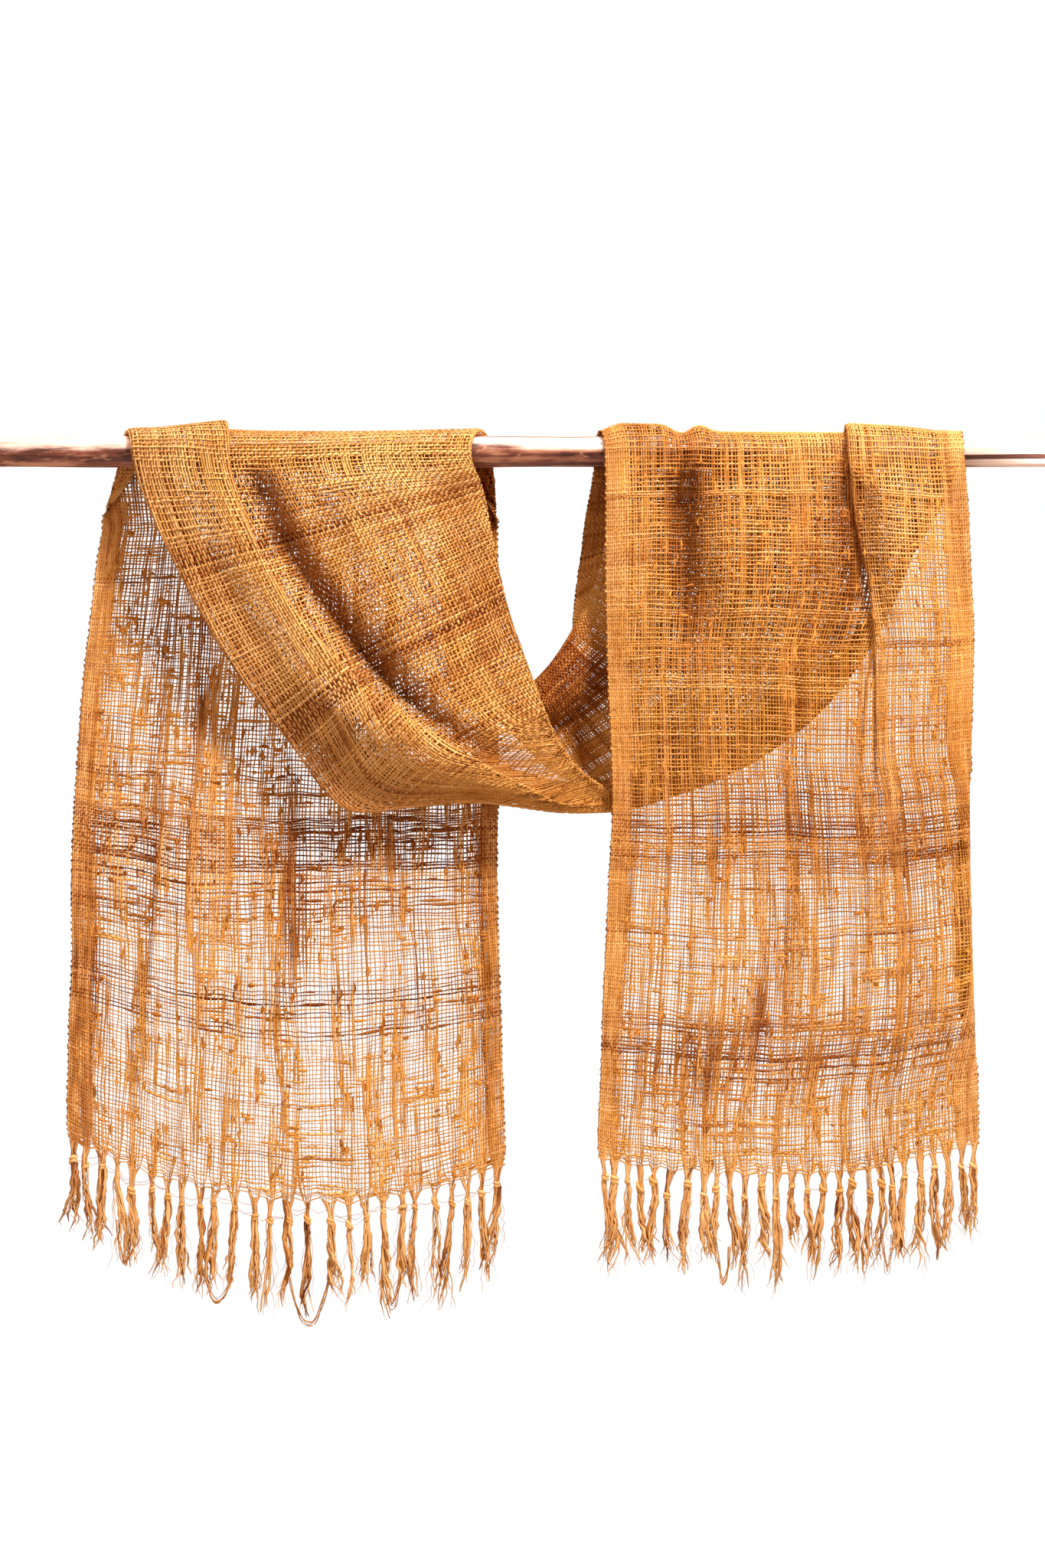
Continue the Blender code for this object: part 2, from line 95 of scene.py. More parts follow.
# Half the gap inside each turn of the cloth at the same sections, and the overlap of the pleat.
SWAG_SIZES = {
    "outer": (1.7, 2.2, 2.5, 3.0, 5.5, 9.0, 9.0, 8.5, 6.0, 3.5, 2.2, 0.5),
    "pleat": (1.9, 1.9, 1.9, 1.9, 1.9, 1.5, 0.5, 0.3, 0.0, -1.2, -1.9, -1.9),
    "overlap": (16, 15, 20, 20, 10, 2, -3, -6, -8, -8, 8, 12),
    "lip": (1.8, 1.8, 1.8, 1.8, 2.0, 2.0, 1.8, 1.5, 1.0, 0.5, 0.3, 0.3),
    "crest": (0, 0, 0, 0.7, 1.8, 2.4, 2.4, 2.4, 2.4, 2.4, 1.6, 0.5),
}
# How far the wide face of the swag sinks and swells between its outer turn and its pleat.
SWAG_TROUGH = (0, 0, 2.0, 3.5, 2.5, 0, 0, 0, 0, 0, 0, 0)
SWAG_SWELL = (0, 1.0, 1.5, 1.5, 1.0, 0, 0, 0, 0, 0, 0, 0)

# Tail behind the rod: drop, outer edge, inner edge, depth; then its margins' folds.
LEFT_TAIL = ((0, -316, -24, 17.2), (60, -331, -20, 18.5), (190, -347, -18, 22.0),
             (340, -356, -20, 22.0), (565, -360, -12, 21.0))
LEFT_MARGINS = ((0, 20, 20), (25, 12, 14), (60, -7, -7), (90, -20, -20), (565, -20, -20))
# A margin narrower than MARGIN_TURN is on its way from folded in to open, and stands out by up to
# MARGIN_STAND half way.
MARGIN_TURN = 6
MARGIN_STAND = 5
# Tail before the rod: drop, outer edge, inner edge, depth; then, by drop, its margin, the place
# and overlap of its long fold, and how much of its relief is left.
RIGHT_TAIL = ((0, 343, 64, -15.2), (70, 348, 65, -16.0), (150, 351, 66, -17.0),
              (276, 348, 70, -19.0), (354, 349, 67, -18.0), (486, 353, 61, -16.0),
              (560, 356, 58, -15.0))
RIGHT_MARGIN = ((0, -18), (150, -18), (380, 14), (420, 14), (545, -16), (560, -18))
RIGHT_RIDGE = ((0, 253, 12), (70, 262, 12), (110, 270, 10), (205, 275, -9), (350, 270, -12),
               (560, 268, -12))
RIGHT_RELIEF = ((0, 1.0), (190, 0.9), (290, 0.3), (560, 0.1))
# Depth of the right tail's fold lines, and how far the last eight lie from its inner edge.
RIGHT_DEPTHS = (0, 0, -1.0, -3.6, -5, -6.6, -3.0, -2.6, 0.6, 0, -0.3, -0.3, -2.5, 1.4, -4.5,
                -3.5, -3, 0.5)
RIGHT_INNER = (90, 86, 74, 60, 44, 18, 14, 0)
# Places of the left tail's fold lines on the flat cloth, and the two at which its margins turn.
FLAT_PLACES = (0, 20, 22, 45, 68, 92, 94, 101, 103, 190, 285, 289, 298, 308, 320, 329, 332, 345)
MARGIN_FOLDS = (20, 285)
# Drop of each hem at the outer and at the inner edge, and how far it sags between them.
LEFT_HEM = (543, 564, 41)
RIGHT_HEM = (540, 552, 20)
# Where the cloth stands higher over the rod, x, half width and height, and the distance from the
# rod's axis over which this begins.
PUFFS = ((-240, 16, 2.5), (-62, 18, 5.0), (86, 30, 4.0), (134, 10, 4.0), (290, 34, 1.5))
PUFF_BEGINS = (14.0, 15.5)
# Sections of the tails, as shares of the way from the rod to the hem, in the cloth's order.
LEFT_SHARES = (1, 0.8, 0.6, 0.4, 0.25, 0.16, 0.13, 0.11, 0.095, 0.08, 0.065, 0.045, 0.02, 0)
RIGHT_SHARES = (0, 0.02, 0.06, 0.125, 0.2, 0.24, 0.28, 0.34, 0.4, 0.43, 0.46, 0.49, 0.52, 0.6, 0.7,
                0.8, 0.84, 0.87, 0.895, 0.92, 0.95, 1)
# Sections over the rod, in degrees from the back, and the rod's own size.
ROD_ANGLES = tuple(range(18, 180, 18))
ROD_RADIUS = 12.5
ROD_HALF_LENGTH = 450.0

# The rod's corners round its end and the bevel there. How it is uneven: room left for it, cuts
# along its length, where it is thinner or thicker than elsewhere and by how much, how far each
# such place reaches, and its dents, by name, size and depth.
ROD_CORNERS = 48
ROD_BEVEL = 1.1
ROD_SPARE = 0.3
ROD_RINGS = 118
ROD_WAISTS = ((-396, 0.970), (-330, 1.012), (-120, 0.975), (30, 0.965), (210, 1.010), (398, 0.975))
ROD_WAIST_REACH = 60
ROD_DENTS = (("cut_marks", 26, 0.55), ("worn_spots", 9, 0.28))

# Soft ripples of the tails: middle x at the top and at the hem, half width, depth, first and
# last drop. Positive goes away from the viewer. The middle moves evenly over RIPPLE_DROP, and
# each ripple fades in and out over the two distances of RIPPLE_FADES.
RIPPLE_DROP = 560
RIPPLE_FADES = (90, 120)
LEFT_RIPPLES = ((-300, -318, 16, 2.2, 40, 600), (-262, -270, 20, -2.4, 60, 600),
                (-205, -214, 22, 2.6, 30, 420), (-150, -150, 26, -2.4, 80, 600),
                (-96, -92, 18, 2.4, 60, 520), (-48, -44, 15, -2.2, 40, 600))
RIGHT_RIPPLES = ((214, 206, 9, 3.4, 90, 500), (196, 186, 12, -2.6, 60, 480),
                 (118, 112, 16, 2.2, 40, 420), (160, 150, 18, -1.8, 160, 560),
                 (318, 322, 9, 2.6, 60, 300), (296, 300, 10, -2.0, 240, 560),
                 (246, 248, 14, -1.6, 200, 560))

# Creases, given as soft ridges and troughs: half width on the left and on the right of the line,
# depth (away from the viewer is positive), and the line itself, x and z, top first.
SWAG_CREASES = (
    (6, 14, 13.0, ((-213, -12), (-204, -34), (-190, -66), (-161, -112), (-131, -151),
                   (-101, -184), (-67, -213), (-32, -237), (6, -257), (44, -268))),
    (15, 42, -7.0, ((-152, -12), (-128, -60), (-109, -108), (-92, -156), (-58, -200),
                    (-14, -232))),
    (24, 10, -4.5, ((-250, -10), (-226, -50), (-192, -102), (-156, -146), (-128, -176),
                    (-92, -206), (-50, -231), (-10, -249))),
    (24, 22, -7.0, ((-208, -168), (-158, -196), (-108, -216), (-60, -234), (-22, -249))),
    (14, 16, 3.0, ((-262, -60), (-232, -112), (-206, -150), (-178, -176))),
    (12, 20, 4.0, ((-62, -18), (-50, -66), (-34, -116), (-14, -160), (8, -196))),
    (12, 12, 3.0, ((-84, -164), (-48, -184), (-14, -198))),
    (10, 10, -3.0, ((-104, -10), (-88, -40), (-80, -80))),
    (16, 16, 5.0, ((44, -240), (78, -250), (112, -240), (150, -214))),
    (14, 14, -4.0, ((60, -222), (92, -214), (128, -186), (160, -140))),
    (14, 20, 5.0, ((300, -14), (286, -80), (246, -150), (190, -206), (130, -246))),
    (12, 16, -4.0, ((262, -12), (244, -80), (206, -146), (160, -196))),
    (16, 14, 4.5, ((210, -14), (200, -70), (172, -130), (130, -180), (96, -214))),
    (10, 12, -3.5, ((150, -14), (146, -60), (128, -110), (100, -150))),
)
# Where both layers of the swag's lower fold turn away from the viewer.
SWAG_TURNS = (
    (22, 30, 11.0, ((-236, -150), (-214, -190), (-178, -236), (-128, -276), (-80, -284),
                    (-30, -282), (24, -288))),
    (12, 12, 3.5, ((-306, 0), (-284, -50), (-262, -104), (-230, -160), (-200, -206))),
)
TAIL_CREASES = (
    (26, 17, -4.5, ((90, -12), (92, -60), (94, -120), (96, -200))),
    (9, 22, 11.0, ((118, -18), (121, -48), (125, -88), (131, -130), (140, -190))),
    (15, 30, -4.0, ((156, -14), (160, -70), (168, -130), (184, -210))),
    (22, 9, 6.0, ((256, -14), (262, -60), (266, -105), (268, -150))),
    (9, 26, -6.0, ((279, -10), (284, -60), (290, -110), (296, -190))),
    (7, 7, 4.5, ((335, -12), (337, -60), (340, -110), (342, -160))),
    (16, 18, 3.0, ((206, -24), (214, -70), (226, -120), (236, -190))),
    (14, 14, 3.5, ((206, -310), (198, -400), (192, -470), (190, -530))),
    (14, 14, -3.5, ((158, -300), (150, -400), (146, -500))),
    (12, 14, 3.0, ((296, -250), (300, -330), (304, -420), (300, -520))),
    (9, 9, -8.0, ((133, 10), (133, -8), (131, -22))),
)

# How a crease ends: it reaches so many half widths to its sides, fades in over CREASE_LEAD and a
# share of its drop, and fades out over a share of its length.
CREASE_REACH = 2.6
CREASE_LEAD = (20, 0.3)
CREASE_TAIL = 0.45
# The right tail's creases begin so far up on the rod.
TAIL_CREASE_START = 15
# How much of a turn of the swag counts as a hollow, and the deepest hollow, for the painted shade
# in the folds.
TURN_HOLLOW = 0.5
DEEPEST_HOLLOW = 10

# Layers of soft uneven values: amount, reach along and across the cloth in rows and columns of
# the grid or in threads, and seed. First the depth of the hung cloth, which begins below the rod.
UNEVEN = ((0.35, 22, 9, 3), (0.5, 50, 22, 4))
HANGS_BELOW = (15, 75)
# Then the threads' paths, along and across the cloth, broad and fine, and their clumps.
BROAD_ALONG = ((1.35, 16, 16, 13),)
FINE_ALONG = ((0.62, 5, 5, 14), (0.42, 1.0, 3, 15), (0.24, 0, 1.0, 16))
BROAD_ACROSS = ((0.5, 8, 24, 20),)
FINE_ACROSS = ((1.25, 20, 3.0, 17), (0.68, 6, 0.9, 18), (0.22, 1.4, 0, 19))
PATCHES = ((1, 22, 12, 21),)
WARP_CLUMPS = ((0.56, 5.5, 0.8, 23), (0.66, 2.2, 0.7, 24))
WEFT_CLUMPS = ((0.85, 0, 2.8, 26), (0.55, 0.6, 1.6, 27))

# How warps and wefts look. Width: of a thin thread, its spread, what open weave adds, what clumps
# add, from which value and up to how much more, what selvedges add, the power of the closeness
# that it follows, the least, the most, and unevenness. Tone, from 0, deep ochre, to 1, pale gold:
# the middle, its spread, what width and open weave add, and unevenness along a thread and from
# point to point. Last, where stray threads are brown.
WARP_LOOK = SimpleNamespace(
    thin=0.62, spread=0.12, open=-0.02, clump=1.15, clump_from=0.30, clump_most=1.3, edge=0.85,
    closer=1.0, least=0.5, most=2.6, uneven=((0.10, 0.8, 0, 35),), tone=0.46, tone_spread=0.11,
    tone_wide=0.13, tone_open=0.10, tone_along=((0.10, 12, 0, 29),), tone_fine=((0.11, 0, 0, 37),),
    brown=((1, 14, 0.8, 30),))
WEFT_LOOK = SimpleNamespace(
    thin=0.78, spread=0.13, open=-0.08, clump=1.25, clump_from=0.85, clump_most=1.5, edge=0.30,
    closer=0.88, least=0.55, most=2.8, uneven=((0.10, 0, 0.8, 36),), tone=0.54, tone_spread=0.12,
    tone_wide=0.10, tone_open=0.08, tone_along=((0.11, 0, 8, 32),), tone_fine=((0.11, 0, 0, 38),),
    brown=((1, 0.8, 12, 34),))

# Steps between the warps in the middle: their spread, the least and the most. The same for wefts.
WARP_STEP = (0.22, 1.5, 3.6)
WEFT_STEP = (0.20, 1.8, 4.8)
# Distance of the first and last warp from the selvedges, and of the wefts from the hems.
WARP_END = 1.0
WEFT_END = 0.9
# How the last rows gather above a knot: how far from the hem, how much closer, and how much the
# outer warps of a tassel are lifted for each square millimetre.
GATHER_REACH = 17
GATHER_PULL = 0.46
GATHER_LIFT = 0.085

# Steps between the warps of the two selvedges, and how close the weave is along the cloth.
OUTER_EDGE = (1.8,) * 5 + (1.95,) * 6
INNER_EDGE = (2.0,) * 4 + (1.8,) * 5
CLOSENESS = ((0, 1.0), (400, 1.06), (500, 1.22), (590, 2.20), (700, 2.32), (1000, 2.42),
             (1100, 2.36), (1360, 2.25), (1400, 2.08), (1560, 1.76), (1700, 1.38), (1952, 1.16))
# How much lighter the threads are along the cloth.
LIGHTNESS = ((0, 0.0), (540, 0.04), (590, 0.20), (640, 0.18), (880, 0.13), (960, 0.05), (1040, 0.0),
             (1339, 0.05), (1393, 0.09), (1560, 0.09), (1700, 0.05), (1952, 0.02))
# Places where they are lighter still, mostly painted light on folds that face the light and on the
# cloth over the rod, and paler threads in one streak: middle and half width across, middle and half
# length along, how much.
PALER_AND_PAINTED_LIGHT = ((50, 60, 790, 150, 0.24), (116, 13, 290, 130, 0.22), (72, 46, 1460, 120, 0.13),
         (60, 50, 610, 40, 0.10))
# Bands of weft: middle and half width along the cloth, share of brown threads, extra width.
BANDS = ((256, 44, 1.15, 0.38), (150, 12, 1.2, 0.24), (127, 6, 0.9, 0.2), (318, 20, 0.6, 0.15),
         (360, 12, 0.3, 0.1), (30, 8, 0.2, 0.1), (430, 16, 0.3, 0.1), (692, 12, 0.65, 0.15),
         (806, 18, 0.8, 0.15), (842, 8, 0.55, 0.1), (905, 14, 0.4, 0.1), (1060, 24, 0.4, 0.0),
         (1240, 20, 0.5, 0.0), (1560, 10, 0.35, 0.1), (1618, 14, 0.35, 0.15),
         (1690, 34, 0.70, 0.34), (1772, 10, 0.4, 0.25), (1866, 22, 0.75, 0.30),
         (1836, 8, 0.4, 0.15))
# Close streaks of warp, and patches of brown: middle and half width across, middle and half length
# along the cloth, extra width, brown. The brown is partly brown threads and partly painted shade,
# as in most patches with no extra width and where the swag shades the tail behind it.
STREAKS_AND_PAINTED_SHADE = ((11, 12, 90, 190, 0.9, 0.35), (10, 12, 420, 200, 0.5, 0.1),
           (116, 11, 290, 130, 1.7, 0.0), (183, 10, 232, 40, 1.4, 0.75),
           (95, 6, 370, 80, 0.9, 0.6), (66, 7, 300, 110, 0.7, 0.45),
           (56, 5, 120, 90, 0.8, 0.1), (136, 7, 62, 70, 0.9, 0.0), (170, 5, 92, 60, 0.9, 0.1),
           (215, 5, 150, 70, 0.8, 0.1), (243, 5, 64, 60, 0.9, 0.0), (262, 5, 118, 50, 1.0, 0.0),
           (288, 8, 112, 60, 0.9, 0.0), (316, 12, 96, 120, 0.7, 0.0), (334, 10, 250, 260, 0.6, 0.3),
           (178, 6, 1690, 200, 1.2, 0.1), (12, 12, 1780, 240, 0.9, 0.1),
           (42, 18, 1800, 170, 0.6, 0.05), (84, 9, 1770, 110, 0.6, 0.1),
           (112, 6, 1700, 60, 0.9, 0.2), (238, 5, 1765, 80, 0.8, 0.0),
           (206, 8, 1836, 26, 1.3, 0.6), (268, 6, 1880, 70, 0.7, 0.0),
           (296, 6, 1740, 130, 0.6, 0.1), (150, 5, 1890, 70, 0.9, 0.0),
           (122, 5, 1895, 60, 0.8, 0.0), (64, 6, 1905, 60, 0.8, 0.0),
           (330, 12, 1700, 260, 0.6, 0.1), (285, 60, 1036, 46, 0.0, 1.2),
           (270, 26, 1412, 34, 0.0, 0.45), (134, 15, 1452, 60, 0.0, 0.5),
           (170, 150, 1680, 40, 0.20, 0.28), (170, 150, 1866, 24, 0.15, 0.22),
           (262, 46, 1872, 20, 0.4, 0.4),
           (325, 30, 1300, 60, 0.0, 0.7), (338, 12, 540, 60, 0.0, 0.8),
           (95, 60, 490, 80, 0.30, 0.42), (190, 70, 430, 60, 0.10, 0.25),
           (34, 22, 470, 120, 0.35, 0.15), (26, 24, 60, 110, 0.5, 0.15),
           (215, 110, 292, 58, 0.42, 0.22))

# The closeness at which the weave begins to hang loose and where it fully does; then the one at
# which it begins to draw tight and where it fully does.
LOOSE_WEAVE = (1.9, 1.3)
TIGHT_WEAVE = (1.05, 1.55)
# Tufts tried on each half of a tail; the half of them on the thickest warps is kept.
SLUBS = 2600
# Their length, their width, where their three rings lie, and how wide each ring is.
SLUB_LENGTH = (2.6, 9.5)
SLUB_WIDTH = (1.4, 3.4)
SLUB_RINGS = (0, 0.45, 1)
SLUB_SHAPE = (0.55, 1.0, 0.5)
# Loose hairs across the open weave of each half of a tail, their length and their width.
HAIRS = 640
HAIR_LENGTH = (4, 11)
HAIR_WIDTH = (0.30, 0.60)
# Half the height of a thread: the least, and its share of the width.
THREAD_HEIGHT = (0.37, 0.07)
# Wefts from one ring of a warp to the next, by stretch.
WARP_STEPS = {"tail": 4, "over": 2, "swag": 3}
# Tassels whose tips are caught together, by hem: first, second, how far down.
LINKS = {0: ((8, 10, 74), (13, 15, 80), (18, 19, 76), (3, 4, 62)), -1: ((6, 7, 66), (17, 18, 70))}
# Rings of a strand from the hem to its tip, and the one at which it enters the knot.
STRAND_RINGS = 18
KNOT_RING = 4
# A knot's size, and the turns and rings of its coil.
KNOT_REACH = 2.9
KNOT_TURNS = 1.55
KNOT_RINGS = 14

# A selvedge loop: how much its reach varies, the weft steps between its ends, and the share of
# its reach and of its steps at its tip and at its end.
LOOP_SPREAD = (0.75, 1.5)
LOOP_STEPS = 0.42
LOOP_TIP = (1.0, 0.55)
LOOP_END = (0.55, 1.05)

# Brightness of a thread inside the weave, a painted shade, and of one that stands proud of it, a
# painted highlight, and how far that is; then the power of that brightness in red, green and
# blue, which makes the painted shade redder.
INNER_SHADE = 0.78
OUTER_SHADE = 1.04
PROUD = 0.8
SHADE_HUE = (0.6, 1.0, 1.7)
# How much darker the middle of a thin, loose thread is painted than its fuzzy sides, a painted
# backlight that leaves the sides bright.
CORE_SHADE = 0.42
# Painted shade in the folds: brown added for each millimetre that a fold lies deep.
FOLD_PAINTED_SHADE = 0.040
# How much of the glow a loose thread takes on, and the most brown that a thread has.
LOOSE_GLOW = 0.72
MOST_BROWN = 1.5

# The photo's height in pixels, the size of one at the rod, and how high its middle lies above the
# rod's axis; then the height of the camera's sensor.
PHOTO_HEIGHT = 2048
PHOTO_PIXEL = 0.6
PHOTO_MIDDLE = -260.4
SENSOR_HEIGHT = 36
BLACK, WHITE = (0, 0, 0), (1, 1, 1)

# Width of a three-sided thread over the radius of its corners, and a whole turn.
TRIANGLE = 1.732
TURN = 6.28
# Where each kind of thread lies on the flat map: from and to across the threads, from and to
# along them, and whether they run up or flat.
MAPS = {"warp": (0.0, 0.47, 0.0, 1.0, "up"), "weft": (0.0, 1.0, 0.55, 1.0, "flat"),
        "tuft": (0.475, 0.510, 0.0, 1.0, "up"), "hair": (0.512, 0.545, 0.0, 1.0, "up"),
        "strand": (0.0, 0.6, 0.0, 1.0, "up"), "knot": (0.62, 1.0, 0.0, 0.5, "up"),
        "core": (0.62, 1.0, 0.5, 1.0, "up")}


def unit(v):
    return v / np.linalg.norm(v)


def ramp(value, start, end):
    """0 up to the start and 1 past the end, which may be the lower of the two."""
    return np.clip((value - start) / (end - start), 0, 1)


def smooth(share):
    return share * share * (3 - 2 * share)


def bump(at, middle, half):
    return np.exp(-((at - middle) / half) ** 2)


def strides(line):
    """Distance from each point of a line, or of a stack of lines, to the next."""
    return np.linalg.norm(np.diff(line, axis=0), axis=-1)


def summed(steps):
    """Distance from the start to each point, by the steps between them."""
    return np.concatenate([[0], np.cumsum(steps)])


def units(v):
    return v / np.maximum(np.linalg.norm(v, axis=-1, keepdims=True), 1e-9)


def eased(knots, values, at):
    """Values between the knots, with no overshoot."""
    knots, values, at = (np.asarray(v, float) for v in (knots, values, at))
    flat = values.reshape(len(knots), -1)
    step = np.diff(knots)[:, None]
    slope = np.diff(flat, axis=0) / step
    left, right = slope[:-1], slope[1:]
    near, far = 2 * step[1:] + step[:-1], step[1:] + 2 * step[:-1]
    same = left * right > 0
    safe_left, safe_right = np.where(same, left, 1), np.where(same, right, 1)
    inner = np.where(same, (near + far) / (near / safe_left + far / safe_right), 0)
    tangent = np.concatenate([slope[:1], inner, slope[-1:]])
    i = np.clip(np.searchsorted(knots, at, side="right") - 1, 0, len(knots) - 2)
    t = np.clip((at - knots[i]) / step[i, 0], 0, 1)[:, None]
    start, end = tangent[i] * step[i], tangent[i + 1] * step[i]
    out = (flat[i] * (1 + 2 * t) * (1 - t) ** 2 + start * t * (1 - t) ** 2
           + flat[i + 1] * t * t * (3 - 2 * t) + end * t * t * (t - 1))
    return out.reshape((len(at),) + values.shape[1:])


def profile(table, at):
    """A table's columns at many places along its first one."""
    table = np.array(table, float)
    return eased(table[:, 0], table[:, 1:], at)


def read(table, at):
    return profile(table, [at])[0]


def swag_row(i):
    """The fold lines' points at one section of the swag."""
    line = {name: np.array(row[i], float) for name, row in SWAG_LINES.items()}
    size = {name: row[i] for name, row in SWAG_SIZES.items()}
    depth = np.array((0, 1.0, 0))
    along = unit((line["lip"] - line["ridge"]) * (1, 0, 1)) if i < 11 else np.array((-1.0, 0, 0))
    over = line["outer"] - depth * size["outer"]
    ridge_over = line["ridge"] - depth * size["pleat"]
    tuck = line["ridge"] - along * size["overlap"] + depth * 2.2 * size["pleat"]
    tuck_under = tuck + depth * 0.85 * size["pleat"]
    return np.array([
        line["outer_edge"], line["outer"] + depth * size["outer"], over,
        over * 0.63 + ridge_over * 0.37 + depth * SWAG_TROUGH[i],
        over * 0.27 + ridge_over * 0.73 - depth * SWAG_SWELL[i],
        ridge_over, line["ridge"] + depth * size["pleat"],
        tuck - depth * 0.85 * size["pleat"], tuck_under, (tuck_under + line["lip"]) / 2,
        line["lip"] - depth * size["lip"], line["lip"] + depth * size["lip"],
        line["well"], line["hollow"], line["roll"],
        line["crest"] - depth * size["crest"], line["crest"] + depth * size["crest"],
        line["inner_edge"]])


def drops(share, across, hem):
    """Heights on a tail, at shares of the way down and across, so that its hem sags."""
    outer, inner, sag = hem
    return -share * (outer + (inner - outer) * across + 4 * sag * across * (1 - across) * share)


def margin_lines(tip, inward, margin, side, shares):
    """Places and depths of the fold lines on a margin that turns from folded in to open."""
    turn = math.radians(90 * max(-1.0, min(1.0, margin / MARGIN_TURN)))
    reach = margin if abs(margin) > MARGIN_TURN else MARGIN_TURN * math.sin(turn)
    shares = np.array(shares, float)
    closed = (1 + math.sin(turn)) / 2
    stand = LAYER_GAP * closed + MARGIN_STAND * math.cos(turn) * shares
    return tip + inward * reach * shares, side * stand


def left_row(share):
    """The fold lines' points on the tail behind the rod; share is 0 at the rod, 1 at the hem."""
    down = share * LEFT_TAIL[-1][0]
    outer, inner, depth = read(LEFT_TAIL, down)
    outer_margin, inner_margin = read(LEFT_MARGINS, down)
    left, right = outer + max(0.0, -outer_margin), inner - max(0.0, -inner_margin)
    first_fold, last_fold = MARGIN_FOLDS
    across = (np.array(FLAT_PLACES, float) - first_fold) / (last_fold - first_fold)
    x = left + (right - left) * across
    y = np.full(len(x), depth)
    for first, last, tip, inward, margin, shares in (
            (0, 2, left, 1, outer_margin, (1, 0)),
            (11, 18, right, -1, inner_margin, (0, 0.2, 0.4, 0.6, 0.8, 0.86, 1))):
        x[first:last], offset = margin_lines(tip, inward, margin, -1, shares)
        y[first:last] += offset
    x[2], x[10] = left, right
    return np.stack([x, y, drops(share, (x - outer) / (inner - outer), LEFT_HEM)], 1)


def right_row(share):
    """The fold lines' points on the tail before the rod."""
    down = share * RIGHT_TAIL[-1][0]
    outer, inner, depth = read(RIGHT_TAIL, down)
    margin = read(RIGHT_MARGIN, down)[0]
    ridge, lap = read(RIGHT_RIDGE, down)
    tip = outer - max(0.0, -margin)
    between = tuple(tip + (ridge - tip) * share for share in (0, 0.35, 0.7))
    last = tuple(inner + reach for reach in RIGHT_INNER)
    lapped = ridge + lap
    middle = (lapped + last[0]) / 2
    x = np.array((tip, tip, *between, ridge, ridge, lapped, lapped, middle, *last))
    y = depth + np.array(RIGHT_DEPTHS) * read(RIGHT_RELIEF, down)[0]
    x[:2], offset = margin_lines(tip, -1, margin, 1, (1, 0))
    y[:2] = y[2] + offset
    return np.stack([x, y, drops(share, (outer - x) / (outer - inner), RIGHT_HEM)], 1)


def rows_over_rod(back, front, haste):
    """Rows carried over the rod; the haste says how soon they take the front row's distance."""
    rows = []
    for angle in np.radians(ROD_ANGLES):
        share = (1 - math.cos(angle)) / 2
        x = back[:, 0] * (1 - share) + front[:, 0] * share
        sooner = min(1.0, haste * share)
        reach = np.abs(back[:, 1]) * (1 - sooner) + np.abs(front[:, 1]) * sooner
        lift = sum(high * bump(x, at, wide) for at, wide, high in PUFFS)
        reach = reach + lift * math.sin(angle) ** 2 * ramp(reach, *PUFF_BEGINS)
        rows.append(np.stack([x, reach * math.cos(angle), reach * math.sin(angle)], 1))
    return rows


def whole_strip():
    """All rows from the left hem to the right one, and the length along the cloth of each."""
    left = [left_row(share) for share in LEFT_SHARES]
    swag = [swag_row(i) for i in range(len(SWAG_LINES["outer"]))]
    right = [right_row(share) for share in RIGHT_SHARES]
    parts = {"tail_left": left, "over_left": rows_over_rod(left[-1], swag[0], 1.8), "swag": swag,
             "over_right": rows_over_rod(swag[-1], right[0], 1.0), "tail_right": right}
    rows = np.array([row for part in parts.values() for row in part])
    along = summed(strides(rows).mean(1))
    count = {name: len(part) for name, part in parts.items()}
    first_turn = count["tail_left"] + count["over_left"]
    second_turn = first_turn + count["swag"] - 1
    ends = {"hem_left": 0, "rod_back_left": count["tail_left"] - 1, "rod_front_left": first_turn,
            "bottom": first_turn + SWAG_BOTTOM, "rod_back_right": second_turn,
            "rod_front_right": second_turn + count["over_right"] + 1, "hem_right": -1}
    return along, rows, {name: along[row] for name, row in ends.items()}


def softened(line, reach):
    """The line with its corners rounded off."""
    n = int(3 * reach + 1)
    weights = np.exp(-0.5 * (np.arange(-n, n + 1) / reach) ** 2)
    weights /= weights.sum()
    padded = np.concatenate([2 * line[0] - line[n:0:-1], line, 2 * line[-1] - line[-2:-n - 2:-1]])
    return np.stack([np.convolve(padded[:, k], weights, "valid") for k in range(3)], 1)


def section(keys):
    """One section of the cloth: evenly spaced points and the place of each."""
    knots = summed(np.maximum(strides(keys), 0.3))
    line = eased(knots, keys, np.linspace(0, knots[-1], int(4 * knots[-1])))
    length = summed(strides(line))
    even = np.linspace(0, length[-1], int(length[-1] / SAMPLE) + 1)
    line = np.stack([np.interp(even, length, line[:, k]) for k in range(3)], 1)
    return softened(line, SOFTNESS / SAMPLE), even


def cloud(shape, reach, seed):
    """Soft random values about zero, with a spread of one."""
    values = np.random.default_rng(seed).standard_normal(shape)
    for axis, far in enumerate(reach):
        if far > 0:
            waves = np.fft.fftfreq(shape[axis])
            keep = np.exp(-2 * (math.pi * waves * far) ** 2)
            keep = keep.reshape([-1 if k == axis else 1 for k in range(len(shape))])
            values = np.fft.ifft(np.fft.fft(values, axis=axis) * keep, axis=axis).real
    return (values - values.mean()) / values.std()


def layers(shape, rows):
    """The sum of some layers of soft random values."""
    return sum(amount * cloud(shape, (along, across), seed) for amount, along, across, seed in rows)


